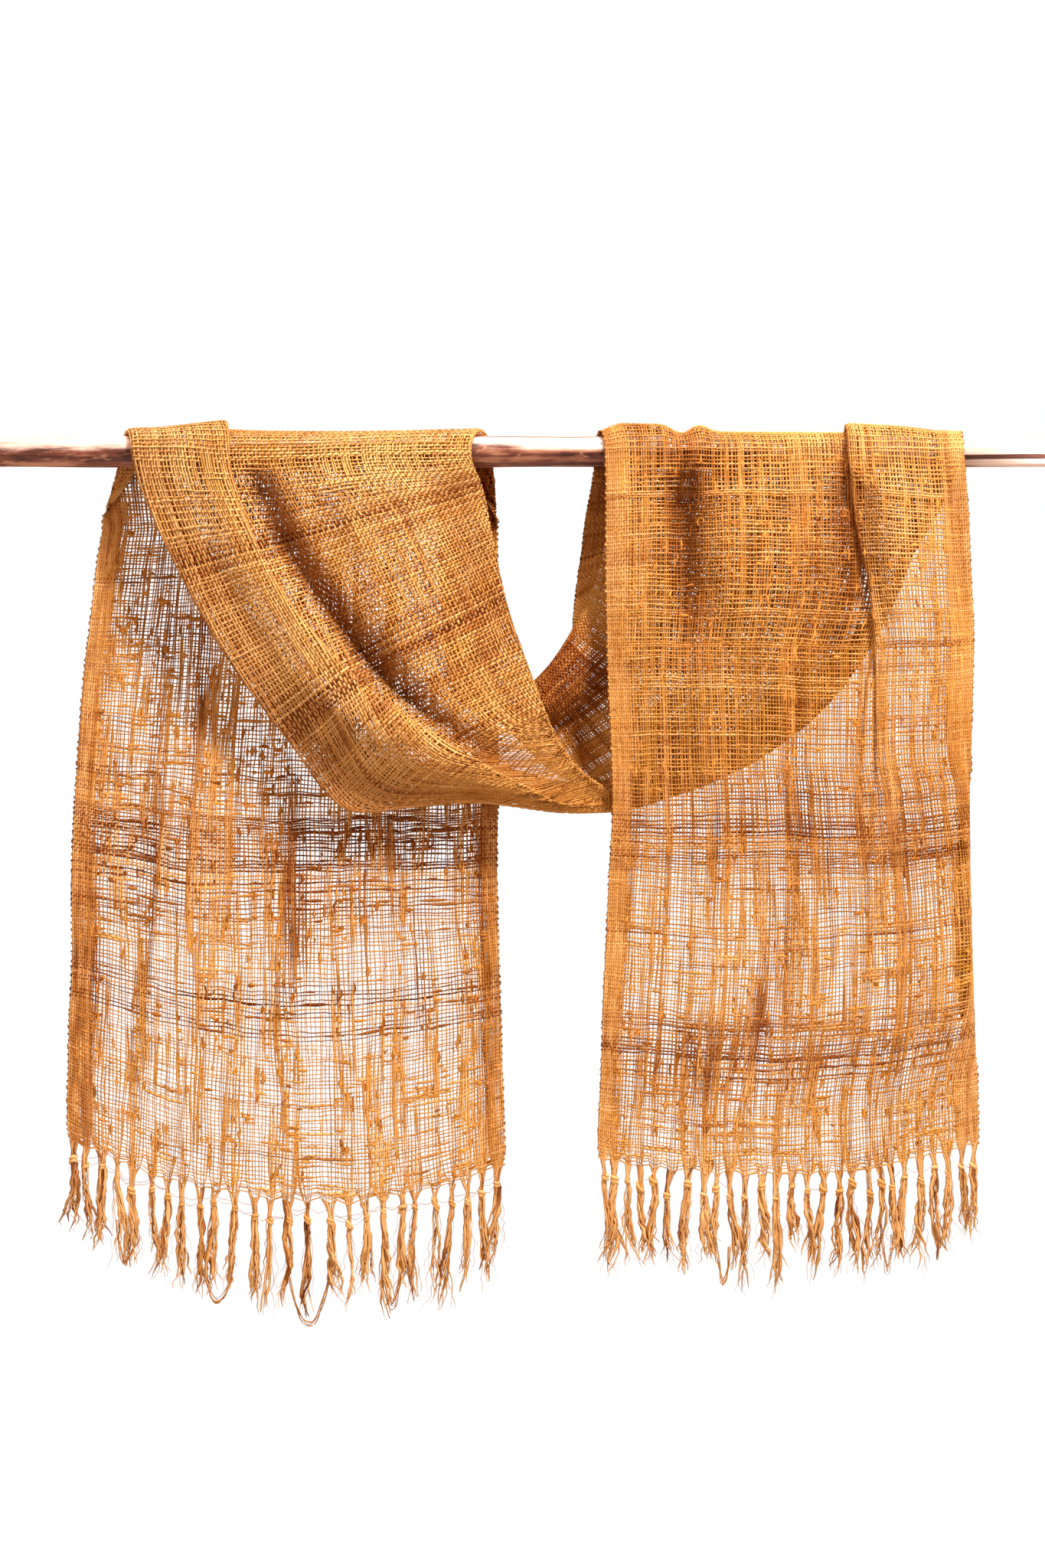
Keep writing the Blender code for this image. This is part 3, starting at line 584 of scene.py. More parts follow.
def crease(x, z, left, right, deep, line):
    """How far one soft ridge or trough, faded out at both ends, moves each point in depth."""
    line = np.array(line, float)
    knots = summed(strides(line))
    along = np.linspace(0, knots[-1], 200)
    path = eased(knots, line, along)
    way = units(np.gradient(path, axis=0))
    moved = np.zeros(x.shape)
    reach = CREASE_REACH * max(left, right)
    near = ((x > path[:, 0].min() - reach) & (x < path[:, 0].max() + reach)
            & (z > path[:, 1].min() - reach) & (z < path[:, 1].max() + reach))
    off = np.stack([x[near], z[near]], -1)[:, None] - path
    nearest = (off ** 2).sum(2).argmin(1)
    off = off[np.arange(len(off)), nearest]
    side = way[nearest, 0] * off[:, 1] - way[nearest, 1] * off[:, 0]
    lead = CREASE_LEAD[0] - CREASE_LEAD[1] * line[0, 1]
    tail = CREASE_TAIL * knots[-1]
    fade = np.clip(np.minimum(along / lead, (knots[-1] - along) / tail), 0, 1)[nearest]
    half = np.where(side > 0, right, left)
    moved[near] = deep * smooth(fade) * bump(np.linalg.norm(off, axis=1), 0, half)
    return moved


class Drape:
    """The hung cloth as a surface: a point and its directions for each place on the flat cloth."""

    STEP = 1.5

    def __init__(self):
        along, keys, self.marks = whole_strip()
        self.length = along[-1]
        rows = int(self.length / self.STEP) + 1
        self.row_at = np.linspace(0, self.length, rows)
        columns = int(CLOTH_WIDTH / self.STEP) + 1
        grid = np.empty((rows, columns, 3))
        for n, row in enumerate(eased(along, keys, self.row_at)):
            line, at = section(row)
            share = np.linspace(0, at[-1], columns)
            for k in range(3):
                grid[n, :, k] = np.interp(share, at, line[:, k])
        self.grid = self.rippled(grid)
        self.ahead = units(np.gradient(self.grid, axis=0))
        self.across = units(np.gradient(self.grid, axis=1))
        self.out = units(np.cross(self.across, self.ahead))

    def rippled(self, grid):
        """Adds the tails' ripples, the creases, and small unevenness all over."""
        s, marks = self.row_at[:, None], self.marks
        x, z = grid[..., 0], grid[..., 2]
        fade_in, fade_out = RIPPLE_FADES
        for ripples, on in ((LEFT_RIPPLES, s < marks["rod_back_left"]),
                            (RIGHT_RIPPLES, s > marks["rod_front_right"])):
            for top, hem, wide, deep, first, last in ripples:
                middle = top + (hem - top) * ramp(-z, 0, RIPPLE_DROP)
                fade = smooth(ramp(-z, first, first + fade_in) * ramp(-z, last, last - fade_out))
                grid[..., 1] += on * deep * fade * bump(x, middle, wide)
        front = self.front_layers(grid)
        swag = (s > marks["rod_front_left"]) & (s < marks["rod_back_right"])
        tail = s > marks["rod_front_right"] - TAIL_CREASE_START
        creases = (sum(swag * front * crease(x, z, *line) for line in SWAG_CREASES)
                   + sum(tail * crease(x, z, *line) for line in TAIL_CREASES))
        turns = sum(swag * crease(x, z, *line) for line in SWAG_TURNS)
        # Depth of the folds, used to paint shade into them.
        self.hollow = np.clip(creases + TURN_HOLLOW * turns, 0, DEEPEST_HOLLOW)[..., None]
        grid[..., 1] += creases + turns
        grid[..., 1] += layers(grid.shape[:2], UNEVEN) * ramp(-z, *HANGS_BELOW)
        return grid

    def front_layers(self, grid):
        """1 on the layers that lie as the swag's front does, 0 on those folded the other way."""
        facing = units(np.cross(np.gradient(grid, axis=1), np.gradient(grid, axis=0)))
        front = np.clip(facing[..., 1] * 1.6, 0, 1)
        mean_of_five = np.full(5, 0.2)
        return np.stack([np.convolve(row, mean_of_five, "same") for row in front])

    def look(self, which, s, w):
        """The grid's values between its points."""
        row, column = (np.clip(np.asarray(at) / whole * (count - 1), 0, count - 1.001)
                       for at, whole, count in ((s, self.length, self.grid.shape[0]),
                                                (w, CLOTH_WIDTH, self.grid.shape[1])))
        i, j = row.astype(int), column.astype(int)
        a, b = (row - i)[..., None], (column - j)[..., None]
        return ((which[i, j] * (1 - b) + which[i, j + 1] * b) * (1 - a)
                + (which[i + 1, j] * (1 - b) + which[i + 1, j + 1] * b) * a)

    def frame_at(self, s, w):
        return (self.look(self.grid, s, w), units(self.look(self.out, s, w)),
                units(self.look(self.ahead, s, w)), units(self.look(self.across, s, w)))


class Weave:
    """Where every warp and weft thread runs on the flat cloth, and its width and colour."""

    def __init__(self, sizes, length):
        rng = np.random.default_rng(11)
        selvedges = sum(OUTER_EDGE) + sum(INNER_EDGE)
        pitch = sizes.warp_pitch / MM
        count = int((CLOTH_WIDTH - 2 * WARP_END - selvedges) / pitch)
        spread, least, most = WARP_STEP
        steps = np.clip(pitch * (1 + spread * rng.standard_normal(count)), least, most)
        self.warp = self.laid([*OUTER_EDGE, *steps, *INNER_EDGE], WARP_END, CLOTH_WIDTH)
        pitch = sizes.weft_pitch / MM
        spread, least, most = WEFT_STEP
        steps = pitch * (1 + spread * rng.standard_normal(int(length / pitch) - 1))
        steps = np.clip(steps, least, most) * (1 + 0.08 * cloud((len(steps),), (5,), 12))
        self.weft = self.laid(steps, WEFT_END, length)
        self.groups = {end: self.tassel_groups(knots, seed) for end, knots, seed in (
            (0, sizes.left_knots, 51), (-1, sizes.right_knots, 61))}
        self.shape = len(self.weft), len(self.warp)
        self.close = profile(CLOSENESS, self.weft)
        self.tight = ramp(self.close, *TIGHT_WEAVE)
        self.place_crossings()
        self.gather_hems(length)
        self.s = np.clip(self.s, 0.4, length - 0.4)
        self.w = np.clip(self.w, 0.6, CLOTH_WIDTH - 0.6)
        row, column = np.indices(self.shape)
        self.over = 1 - 2 * ((row + column) % 2)
        self.choose_threads(rng)

    def laid(self, steps, end, whole):
        """Places of threads with these steps between them, spread out to both ends."""
        at = summed(steps)
        return end + at / at[-1] * (whole - 2 * end)

    def place_crossings(self):
        """Where each warp meets each weft: unevenly, but less so where the weave is tight."""
        free = 1 - 0.55 * self.tight
        inside = np.clip(np.minimum(self.warp, CLOTH_WIDTH - self.warp) / 30, 0.12, 1)
        self.s = (self.weft[:, None] + layers(self.shape, BROAD_ALONG)
                  + free * layers(self.shape, FINE_ALONG))
        self.w = (self.warp + free * inside * layers(self.shape, FINE_ACROSS)
                  + layers(self.shape, BROAD_ACROSS))

    def tassel_groups(self, count, seed):
        """First warp of each tassel, and the end of the last."""
        rng = np.random.default_rng(seed)
        inner = np.linspace(0, len(self.warp), count + 1)[1:-1] + rng.uniform(-1.1, 1.1, count - 1)
        return [0, *np.round(inner).astype(int), len(self.warp)]

    def gather_hems(self, length):
        """Draws the last rows together above each knot, so each hem hangs in small arches."""
        for end, groups in self.groups.items():
            owner = np.searchsorted(groups, np.arange(len(self.warp)), side="right") - 1
            middle = np.array([self.warp[a:b].mean() for a, b in zip(groups[:-1], groups[1:])])
            away = self.warp - middle[owner]
            inward = self.weft if end == 0 else length - self.weft
            near = ramp(inward, GATHER_REACH, 0)[:, None] ** 1.4
            self.w -= near * GATHER_PULL * away
            lift = near * GATHER_LIFT * away * away
            self.s += lift if end == 0 else -lift

    def choose_threads(self, rng):
        """Thin threads with clumps; the clumps gather in streaks along and bands across."""
        wefts, warps = self.shape
        s, w = self.weft[:, None], self.warp[None, :]
        self.hanging = ramp(self.close, *LOOSE_WEAVE)
        self.calm = 1 - 0.80 * self.tight
        self.edging = ramp(w, 22, 16) + ramp(CLOTH_WIDTH - w, 18, 12)
        extra, tint_and_shade = np.zeros(self.shape), np.zeros(self.shape)
        # Brown here is partly brown threads and partly painted shade.
        for across, half, along, reach, wider, brown in STREAKS_AND_PAINTED_SHADE:
            near = bump(w, across, half) * bump(s, along, reach) ** 0.5
            extra, tint_and_shade = extra + wider * near, tint_and_shade + brown * near
        self.light = profile(LIGHTNESS, self.weft)
        # Lighter places, mostly painted light.
        for across, half, along, reach, lighter in PALER_AND_PAINTED_LIGHT:
            self.light = self.light + lighter * bump(w, across, half) * bump(s, along, reach)
        patch = layers(self.shape, PATCHES)
        streak = cloud((warps,), (0.9,), 22)

        single = rng.standard_normal(warps)
        clumps = layers(self.shape, WARP_CLUMPS) + 0.30 * streak + 0.30 * patch
        streaked = extra * (0.75 + 0.30 * cloud(self.shape, (4, 0.7), 25))
        self.warp_wide = self.widths(WARP_LOOK, single, clumps, streaked)

        heavy = sum(wider * bump(s, middle, half) for middle, half, _, wider in BANDS)
        single = rng.standard_normal(wefts)[:, None]
        clumps = layers(self.shape, WEFT_CLUMPS) + 0.25 * single + 0.28 * patch
        banded = heavy * (1 + 0.4 * cloud(self.shape, (0.5, 6), 28)) + 0.20 * extra
        self.weft_wide = self.widths(WEFT_LOOK, single, clumps, banded)

        single = rng.standard_normal(warps)
        self.warp_tone = self.tones(WARP_LOOK, self.calm * single, self.warp_wide, 0.07 * patch)
        stain_and_shade = tint_and_shade * (0.7 + 0.4 * cloud(self.shape, (3, 0.6), 31))
        self.warp_brown = self.browns(WARP_LOOK, stain_and_shade)

        single = rng.standard_normal(wefts)[:, None]
        self.weft_tone = self.tones(WEFT_LOOK, single, self.weft_wide, 0)
        band = np.zeros(wefts)
        chosen = rng.random(wefts)
        for middle, half, brown, _ in BANDS:
            near = bump(self.weft, middle, half)
            band = np.maximum(band, brown * near * (chosen < 0.25 + 0.65 * brown * near))
        stain_and_shade = band[:, None] * (0.85 + 0.30 * cloud(self.shape, (0.6, 9), 33)) + 0.6 * tint_and_shade
        self.weft_brown = self.browns(WEFT_LOOK, stain_and_shade)

        self.warp_loose, self.weft_loose = (self.hanging * ramp(wide, 1.4, 1.0)
                                            for wide in (self.warp_wide, self.weft_wide))

    def widths(self, look, single, clumps, more):
        """Widths of the warps or of the wefts where they cross."""
        clumped = np.clip(clumps - look.clump_from, 0, look.clump_most)
        wide = (look.open * self.hanging + look.thin * (1 + look.spread * single)
                + layers(self.shape, look.uneven) + self.calm * look.clump * clumped + more
                + look.edge * self.edging)
        return np.clip(wide * self.close ** look.closer, look.least, look.most)

    def tones(self, look, single, wide, more):
        """Tones of the warps or of the wefts where they cross."""
        tone = (look.tone + look.tone_spread * single + look.tone_wide * (wide / self.close - 0.9)
                + self.calm * layers(self.shape, look.tone_along)
                + layers(self.shape, look.tone_fine) + more)
        return np.clip(tone + self.light + look.tone_open * self.hanging, 0, 1)

    def browns(self, look, stain_and_shade):
        """Brown of the warps or of the wefts where they cross: placed, partly as painted shade, and
        in stray threads.
        """
        stray = np.clip(layers(self.shape, look.brown) - 0.9, 0, 1.6)
        return np.clip(0.30 * stray + stain_and_shade, 0, MOST_BROWN)


def mixed(a, b, share):
    return np.asarray(a) * (1 - share[..., None]) + np.asarray(b) * share[..., None]


def thread_colours(tone, brown, colours, loose=0.0):
    """Shades along a thread: from deep ochre to pale gold, warmer where loose, some brown, partly
    painted shade.
    """
    deep, gold, pale, glow, umber = (np.array(c[:3]) for c in (
        colours.deep, colours.gold, colours.pale, colours.glow, colours.umber))
    low, high = np.clip(tone * 2, 0, 1), np.clip(tone * 2 - 1, 0, 1)
    silk = mixed(mixed(deep, gold, low), pale, high)
    silk = mixed(silk, glow, np.broadcast_to(LOOSE_GLOW * loose, tone.shape))
    return silk * umber ** np.clip(brown, 0, MOST_BROWN)[..., None]


class Threads:
    """Gathers tubes into one mesh, with a colour on each point and a flat map of each thread."""

    def __init__(self):
        self.points, self.colours, self.maps, self.count = [], [], [], 0
        self.faces = {}

    def add(self, centre, side, out, wide, high, colour, flat, sides=3, lift=None, core=None):
        """Tubes through centre[thread, ring], wide along side and high along out.

        flat names their place on the flat map. lift is how far each ring is raised from the
        middle of the cloth: what stands proud of the weave gets a painted highlight, and what lies
        within it a painted shade. core is how much darker the middle of each ring is painted than
        its sides, as painted backlight.
        """
        tubes, rings = centre.shape[:2]
        turns = 2 * math.pi * np.arange(sides) / sides + math.pi / 2
        ring = (side[..., None, :] * (wide[..., None] * np.cos(turns))[..., None]
                + out[..., None, :] * (high[..., None] * np.sin(turns))[..., None])
        self.points.append((centre[..., None, :] + ring).reshape(-1, 3))
        # Painted shade and highlight: threads within the weave darker, proud ones lighter, and thin
        # loose ones with a darker middle as painted backlight.
        wear_and_painted_light = np.ones((tubes, rings, sides))
        if lift is not None:
            proud = np.abs(lift[..., None] + high[..., None] * np.sin(turns))
            wear_and_painted_light = INNER_SHADE + (OUTER_SHADE - INNER_SHADE) * np.clip(proud / PROUD, 0, 1)
        if core is not None:
            wear_and_painted_light[..., 0] *= core
        wear_and_painted_light = wear_and_painted_light[..., None] ** np.array(SHADE_HUE)
        self.colours.append((colour[..., None, :] * wear_and_painted_light).reshape(-1, 3))
        index = self.count + np.arange(tubes * rings * sides).reshape(tubes, rings, sides)
        self.count += index.size
        onward = (centre[:, 1:] - centre[:, :-1]).sum(1)
        turned = np.einsum("ij,ij->i", np.cross(side[:, 0], out[:, 0]), onward) > 0
        index[turned] = index[turned][..., ::-1]
        after = np.roll(index, -1, axis=2)
        walls = np.stack([index[:, :-1], index[:, 1:], after[:, 1:], after[:, :-1]], -1)
        self.faces.setdefault(4, []).append(walls.reshape(-1, 4))
        self.faces.setdefault(sides, []).extend([index[:, 0], index[:, -1, ::-1]])
        low, top, start, end, way = MAPS[flat]
        t = (np.arange(tubes)[:, None, None] + np.linspace(0.08, 0.92, sides)) / tubes
        r = np.linspace(0.002, 0.998, rings)[None, :, None]
        t = np.broadcast_to(low + (top - low) * t, index.shape)
        r = np.broadcast_to(start + (end - start) * r, index.shape)
        self.maps.append(np.stack([t, r] if way == "up" else [r, t], -1).reshape(-1, 2))

    def build(self, name, surface):
        points = np.concatenate(self.points) * MM
        groups = [np.concatenate(faces) for _, faces in sorted(self.faces.items())]
        corners = np.concatenate([faces.ravel() for faces in groups])
        sizes = np.concatenate([np.full(len(faces), faces.shape[1]) for faces in groups])
        mesh = bpy.data.meshes.new(name)
        mesh.vertices.add(len(points))
        mesh.vertices.foreach_set("co", points.astype(np.float32).ravel())
        mesh.loops.add(len(corners))
        mesh.loops.foreach_set("vertex_index", corners.astype(np.int32))
        mesh.polygons.add(len(sizes))
        starts = summed(sizes[:-1])
        mesh.polygons.foreach_set("loop_start", starts.astype(np.int32))
        mesh.update(calc_edges=True)
        mesh.validate()
        ends = sizes != 4
        edges = np.empty(len(corners), np.int32)
        mesh.loops.foreach_get("edge_index", edges)
        sharp = np.zeros(len(mesh.edges), bool)
        sharp[edges[np.repeat(ends, sizes)]] = True
        mesh.edges.foreach_set("use_edge_sharp", sharp)
        mesh.polygons.foreach_set("use_smooth", ~ends)
        colours = np.concatenate(self.colours)
        shade = mesh.attributes.new("thread", "FLOAT_COLOR", "POINT")
        shade.data.foreach_set("color", np.concatenate(
            [colours, np.ones((len(colours), 1))], 1).astype(np.float32).ravel())
        flat = mesh.uv_layers.new(name="OFBake")
        flat.data.foreach_set("uv", np.concatenate(self.maps)[corners].astype(np.float32).ravel())
        mesh.materials.append(surface)
        made = bpy.data.objects.new(name, mesh)
        bpy.context.scene.collection.objects.link(made)
        return made


class Socket:
    """A node's output in an expression, so that sums of values read as sums."""

    def __init__(self, tree, socket):
        self.tree, self.socket = tree, socket

    def maths(operation, reflected=False):
        def work(self, other):
            first, second = (other, self) if reflected else (self, other)
            return self.tree.add("ShaderNodeMath", {"operation": operation},
                                 {0: first, 1: second})
        return work

    __add__, __radd__ = maths("ADD"), maths("ADD", True)
    __sub__, __rsub__ = maths("SUBTRACT"), maths("SUBTRACT", True)
    __mul__, __rmul__ = maths("MULTIPLY"), maths("MULTIPLY", True)
    __truediv__, __rtruediv__ = maths("DIVIDE"), maths("DIVIDE", True)


class Surface:
    """A procedural material and the way its nodes are added."""

    def __init__(self, name, settings):
        self.material = bpy.data.materials.new(name)
        self.material.use_nodes = True
        self.tree = self.material.node_tree
        self.shader = self.tree.nodes["Principled BSDF"]
        for key, value in settings.items():
            self.shader.inputs[key].default_value = value

    def add(self, kind, settings=None, inputs=None, output=0):
        node = self.tree.nodes.new(kind)
        for key, value in (settings or {}).items():
            if key == "stops":
                ramp = node.color_ramp
                while len(ramp.elements) > 1:
                    ramp.elements.remove(ramp.elements[-1])
                for n, (at, colour) in enumerate(value):
                    stop = ramp.elements[0] if n == 0 else ramp.elements.new(at)
                    stop.position, stop.color = at, (*colour[:3], 1)
            else:
                setattr(node, key, value)
        for key, value in (inputs or {}).items():
            self.feed(node.inputs[key], value)
        return Socket(self, node.outputs[output])

    def feed(self, target, value):
        if isinstance(value, Socket):
            self.tree.links.new(value.socket, target)
        else:
            target.default_value = value

    def to(self, name, value):
        self.feed(self.shader.inputs[name], value)

    def place(self):
        return self.add("ShaderNodeTexCoord", output="Object")

    def noise(self, scale, detail=4.0, stretch=(1, 1, 1), roughness=0.55):
        where = self.add("ShaderNodeMapping", {}, {"Vector": self.place(), "Scale": stretch})
        return self.add("ShaderNodeTexNoise", {}, {"Vector": where, "Scale": scale,
                                                   "Detail": detail, "Roughness": roughness})

    def shade(self, factor, stops):
        return self.add("ShaderNodeValToRGB", {"stops": stops}, {"Fac": factor})

    def blend(self, factor, a, b, way="MIX"):
        return self.add("ShaderNodeMix", {"data_type": "RGBA", "blend_type": way},
                        {"Factor": factor, 6: a, 7: b}, output=2)


def silk_surface():
    """Raw silk: each thread's colour, with its painted shade and highlight, broken up by fine
    fibres.
    """
    silk = Surface("raw_silk", {"Specular IOR Level": 0.05})
    shade = silk.add("ShaderNodeAttribute", {"attribute_name": "thread"}, output="Color")
    fibres = silk.noise(2600.0, 3.0)
    cloudy = silk.noise(60.0, 3.0)
    wear_and_painted_light = silk.shade(fibres * 0.55 + cloudy * 0.45, ((0.25, (0.70, 0.60, 0.46)),
                                                     (0.50, (1.0, 1.0, 1.0)),
                                                     (0.78, (1.18, 1.22, 1.30))))
    silk.to("Base Color", silk.blend(1.0, shade, wear_and_painted_light, "MULTIPLY"))
    silk.to("Roughness", 0.48 + fibres * 0.28)
    silk.to("Normal", silk.add("ShaderNodeBump", {}, {"Strength": 0.5, "Distance": 0.0002,
                                                      "Height": fibres}))
    return silk.material


def wood_surface(colours):
    """The rod's bare wood: a painted highlight, pale on top and at its far end, with long fine
    cracks.
    """
    wood = Surface("rod_wood", {"Specular IOR Level": 0.35})
    grain = wood.noise(170.0, 6.0, (0.035, 1.0, 1.0), 0.62)
    blotch = wood.noise(42.0, 5.0, (0.30, 1.0, 1.0), 0.6)
    fleck = wood.noise(260.0, 3.0, (0.30, 1.0, 1.0))
    crack = wood.noise(95.0, 2.0, (0.022, 1.0, 1.0), 0.4)
    x, y, z = (wood.add("ShaderNodeSeparateXYZ", {}, {"Vector": wood.place()}, output=n)
               for n in range(3))
    red = wood.shade(grain * 0.45 + blotch * 0.55,
                     ((0.45, colours.wood_dark), (0.51, colours.wood), (0.575, colours.wood_light)))
    flecked = wood.shade(fleck, ((0.57, BLACK), (0.68, (0.8, 0.8, 0.8))))
    red = wood.blend(flecked, red, tuple(colours.wood_light))
    # Painted highlight: the rod's top and right end are painted pale, where the light falls on it.
    upward = (z - y * 0.25) / (ROD_RADIUS * MM)
    rightward = x * 0.5 + x * x * 2.2 + x * x * (x + ROD_HALF_LENGTH * MM) * 9.0
    blotched = (grain - 0.5) * 1.5 + (blotch - 0.5) * 0.9
    wear_and_painted_light = wood.shade(upward + blotched + rightward, ((0.40, BLACK), (0.66, WHITE)))
    pale = wood.shade(grain * 0.6 + blotch * 0.4, ((0.36, (0.64, 0.33, 0.24)),
                                                   (0.56, tuple(colours.wood_painted_highlight))))
    colour = wood.blend(wear_and_painted_light, red, pale)
    split = wood.shade(crack, ((0.335, WHITE), (0.36, BLACK)))
    wood.to("Base Color", wood.blend(split, colour, (0.085, 0.028, 0.018, 1)))
    wood.to("Roughness", 0.36 + grain * 0.3)
    wood.to("Normal", wood.add("ShaderNodeBump", {}, {
        "Strength": 0.5, "Distance": 0.0010, "Height": grain * 0.6 + fleck * 0.3 - split * 0.4}))
    return wood.material


def floor_surface():
    """Pale plaster with soft, hardly visible clouds."""
    plaster = Surface("pale_floor", {"Roughness": 0.9})
    clouds = plaster.shade(plaster.noise(6.0, 3.0), ((0.3, (0.80, 0.80, 0.80)),
                                                     (0.7, (0.86, 0.86, 0.86))))
    plaster.to("Base Color", clouds)
    return plaster.material


# Pieces of the weave: name, start and end, as a mark or a share between two marks, node.
STRETCHES = (
    ("tail_left_hem_half", "hem_left", 0.5, "tail_left"),
    ("tail_left_rod_half", 0.5, "rod_back_left", "tail_left"),
    ("over_left_weave", "rod_back_left", "rod_front_left", "over_left"),
    ("swag_front_weave", "rod_front_left", "bottom", "swag_front"),
    ("swag_back_weave", "bottom", "rod_back_right", "swag_back"),
    ("over_right_weave", "rod_back_right", "rod_front_right", "over_right"),
    ("tail_right_rod_half", "rod_front_right", 0.5, "tail_right"),
    ("tail_right_hem_half", 0.5, "hem_right", "tail_right"),
)


def stretch_ends(marks):
    """Start and end of each piece along the cloth."""
    middle = {"tail_left": (marks["hem_left"] + marks["rod_back_left"]) / 2,
              "tail_right": (marks["rod_front_right"] + marks["hem_right"]) / 2}
    return [(name, marks.get(a, middle.get(node)), marks.get(b, middle.get(node)), node)
            for name, a, b, node in STRETCHES]


class Cloth:
    """The drape and the weave, made once and shared by the operators."""

    made = None

    def __init__(self, scene):
        self.sizes, self.colours = scene.scarf_sizes, scene.scarf_colours
        self.drape = Drape()
        self.weave = Weave(self.sizes, self.drape.length)
        self.silk = silk_surface()

    @classmethod
    def get(cls, scene):
        if cls.made is None:
            cls.made = cls(scene)
        return cls.made

    def rows_of(self, start, end):
        """First weft of a stretch, and the one after its last."""
        rows = np.nonzero((self.weave.weft >= start) & (self.weave.weft < end))[0]
        return rows[0], rows[-1] + 1

    def half_sizes(self, wide):
        """Half the width and height of three-sided threads as wide as asked."""
        wide = wide * (self.sizes.thread_width / MM)
        least, share = THREAD_HEIGHT
        return wide / TRIANGLE, (least + share * wide) * self.sizes.thread_height / MM

    def threads_at(self, kind, rows):
        """Points, three directions, widths, colours and cores of the warps or wefts in rows."""
        s, w = self.weave.s[rows], self.weave.w[rows]
        wide, tone, brown, loose = (getattr(self.weave, f"{kind}_{name}")[rows]
                                    for name in ("wide", "tone", "brown", "loose"))
        # Painted shade: threads darker where the cloth lies deep in a fold.
        shaded = brown + FOLD_PAINTED_SHADE * self.drape.look(self.drape.hollow, s, w)[..., 0]
        colour = thread_colours(tone, shaded, self.colours, loose)
        return (*self.drape.frame_at(s, w), wide, colour, 1 - CORE_SHADE * loose)

    def add_warps(self, threads, first, last, every):
        """The taut warps of some rows, shaped at every so many wefts."""
        last = min(last, len(self.weave.weft) - 1)
        steps = max(2, round((last - first) / every))
        rows = np.round(np.linspace(first, last, steps + 1)).astype(int)
        point, out, _, across, wide, colour, core = (
            values.swapaxes(0, 1) for values in self.threads_at("warp", rows))
        threads.add(point, across, out, *self.half_sizes(wide), colour, "warp", core=core)

    def add_wefts(self, threads, first, last):
        """Crimped wefts, each with half a turn round the edge warps at both ends."""
        rows, sizes = slice(first, last), self.sizes
        point, out, ahead, across, wide, colour, core = self.threads_at("weft", rows)
        lift = -sizes.thread_rise / MM * self.weave.over[rows]
        centre = point + out * lift[..., None]
        rng = np.random.default_rng(41)
        parity = np.where(np.arange(first, last) % 2 == 0, 1.0, -1.0)
        ends = []
        for edge, outward, turn in ((0, -1, parity), (-1, 1, -parity)):
            far = outward * sizes.edge_loop / MM * rng.uniform(*LOOP_SPREAD, last - first)
            on = turn * LOOP_STEPS * sizes.weft_pitch / MM
            ends.append([centre[:, edge] + across[:, edge] * (far * reach)[:, None]
                         + ahead[:, edge] * (on * step)[:, None]
                         for reach, step in (LOOP_TIP, LOOP_END)])
        columns = [0, 0, *range(centre.shape[1]), -1, -1]
        (left_tip, left_end), right = ends
        centre = np.stack([left_end, left_tip, *centre.swapaxes(0, 1), *right], 1)
        ahead, out, wide, colour, lift, core = (
            values[:, columns] for values in (ahead, out, wide, colour, lift, core))
        wide[:, [0, -1]] *= 0.8
        threads.add(centre, ahead, out, *self.half_sizes(wide), colour, "weft", lift=lift,
                    core=core)

    def add_slubs(self, threads, first, last, rng):
        """Tufts of silk caught in the warps, short and thick in the middle."""
        weave = self.weave
        row = rng.integers(first + 1, max(first + 2, last - 4), SLUBS)
        column = rng.integers(3, len(weave.warp) - 3, SLUBS)
        likely = weave.warp_wide[row, column] + 0.5 * rng.random(SLUBS) + 1.6 * weave.calm[row, 0]
        keep = np.argsort(-likely)[:SLUBS // 2]
        row, column = row[keep], column[keep]
        count = len(row)
        room = np.maximum(weave.weft[last - 1] - weave.s[row, column], 2.5)
        far = np.clip(rng.uniform(*SLUB_LENGTH, count), 2, room)[:, None] * np.array(SLUB_RINGS)
        sway = rng.normal(0, 0.4, (count, 1)) + rng.normal(0, 0.5, (count, 3))
        level = rng.random(count) < 0.35
        s = weave.s[row, column][:, None] + np.where(level[:, None], sway, far)
        w = weave.w[row, column][:, None] + np.where(level[:, None], far, sway)
        wide = rng.uniform(*SLUB_WIDTH, count)[:, None] * np.array(SLUB_SHAPE)
        wide = wide * rng.uniform(0.7, 1.3, (count, 3))
        brown = 0.6 * weave.weft_brown[row, column] + 0.4 * (rng.random(count) < 0.12)
        tuft, umber = (np.array(c[:3]) for c in (self.colours.tuft, self.colours.umber))
        shade = tuft * rng.uniform(0.7, 1.2, (count, 1)) * umber ** np.clip(brown, 0, 0.8)[:, None]
        self.add_loose(threads, s, w, level, wide, 0.45 + 0.10 * wide, shade, "tuft")

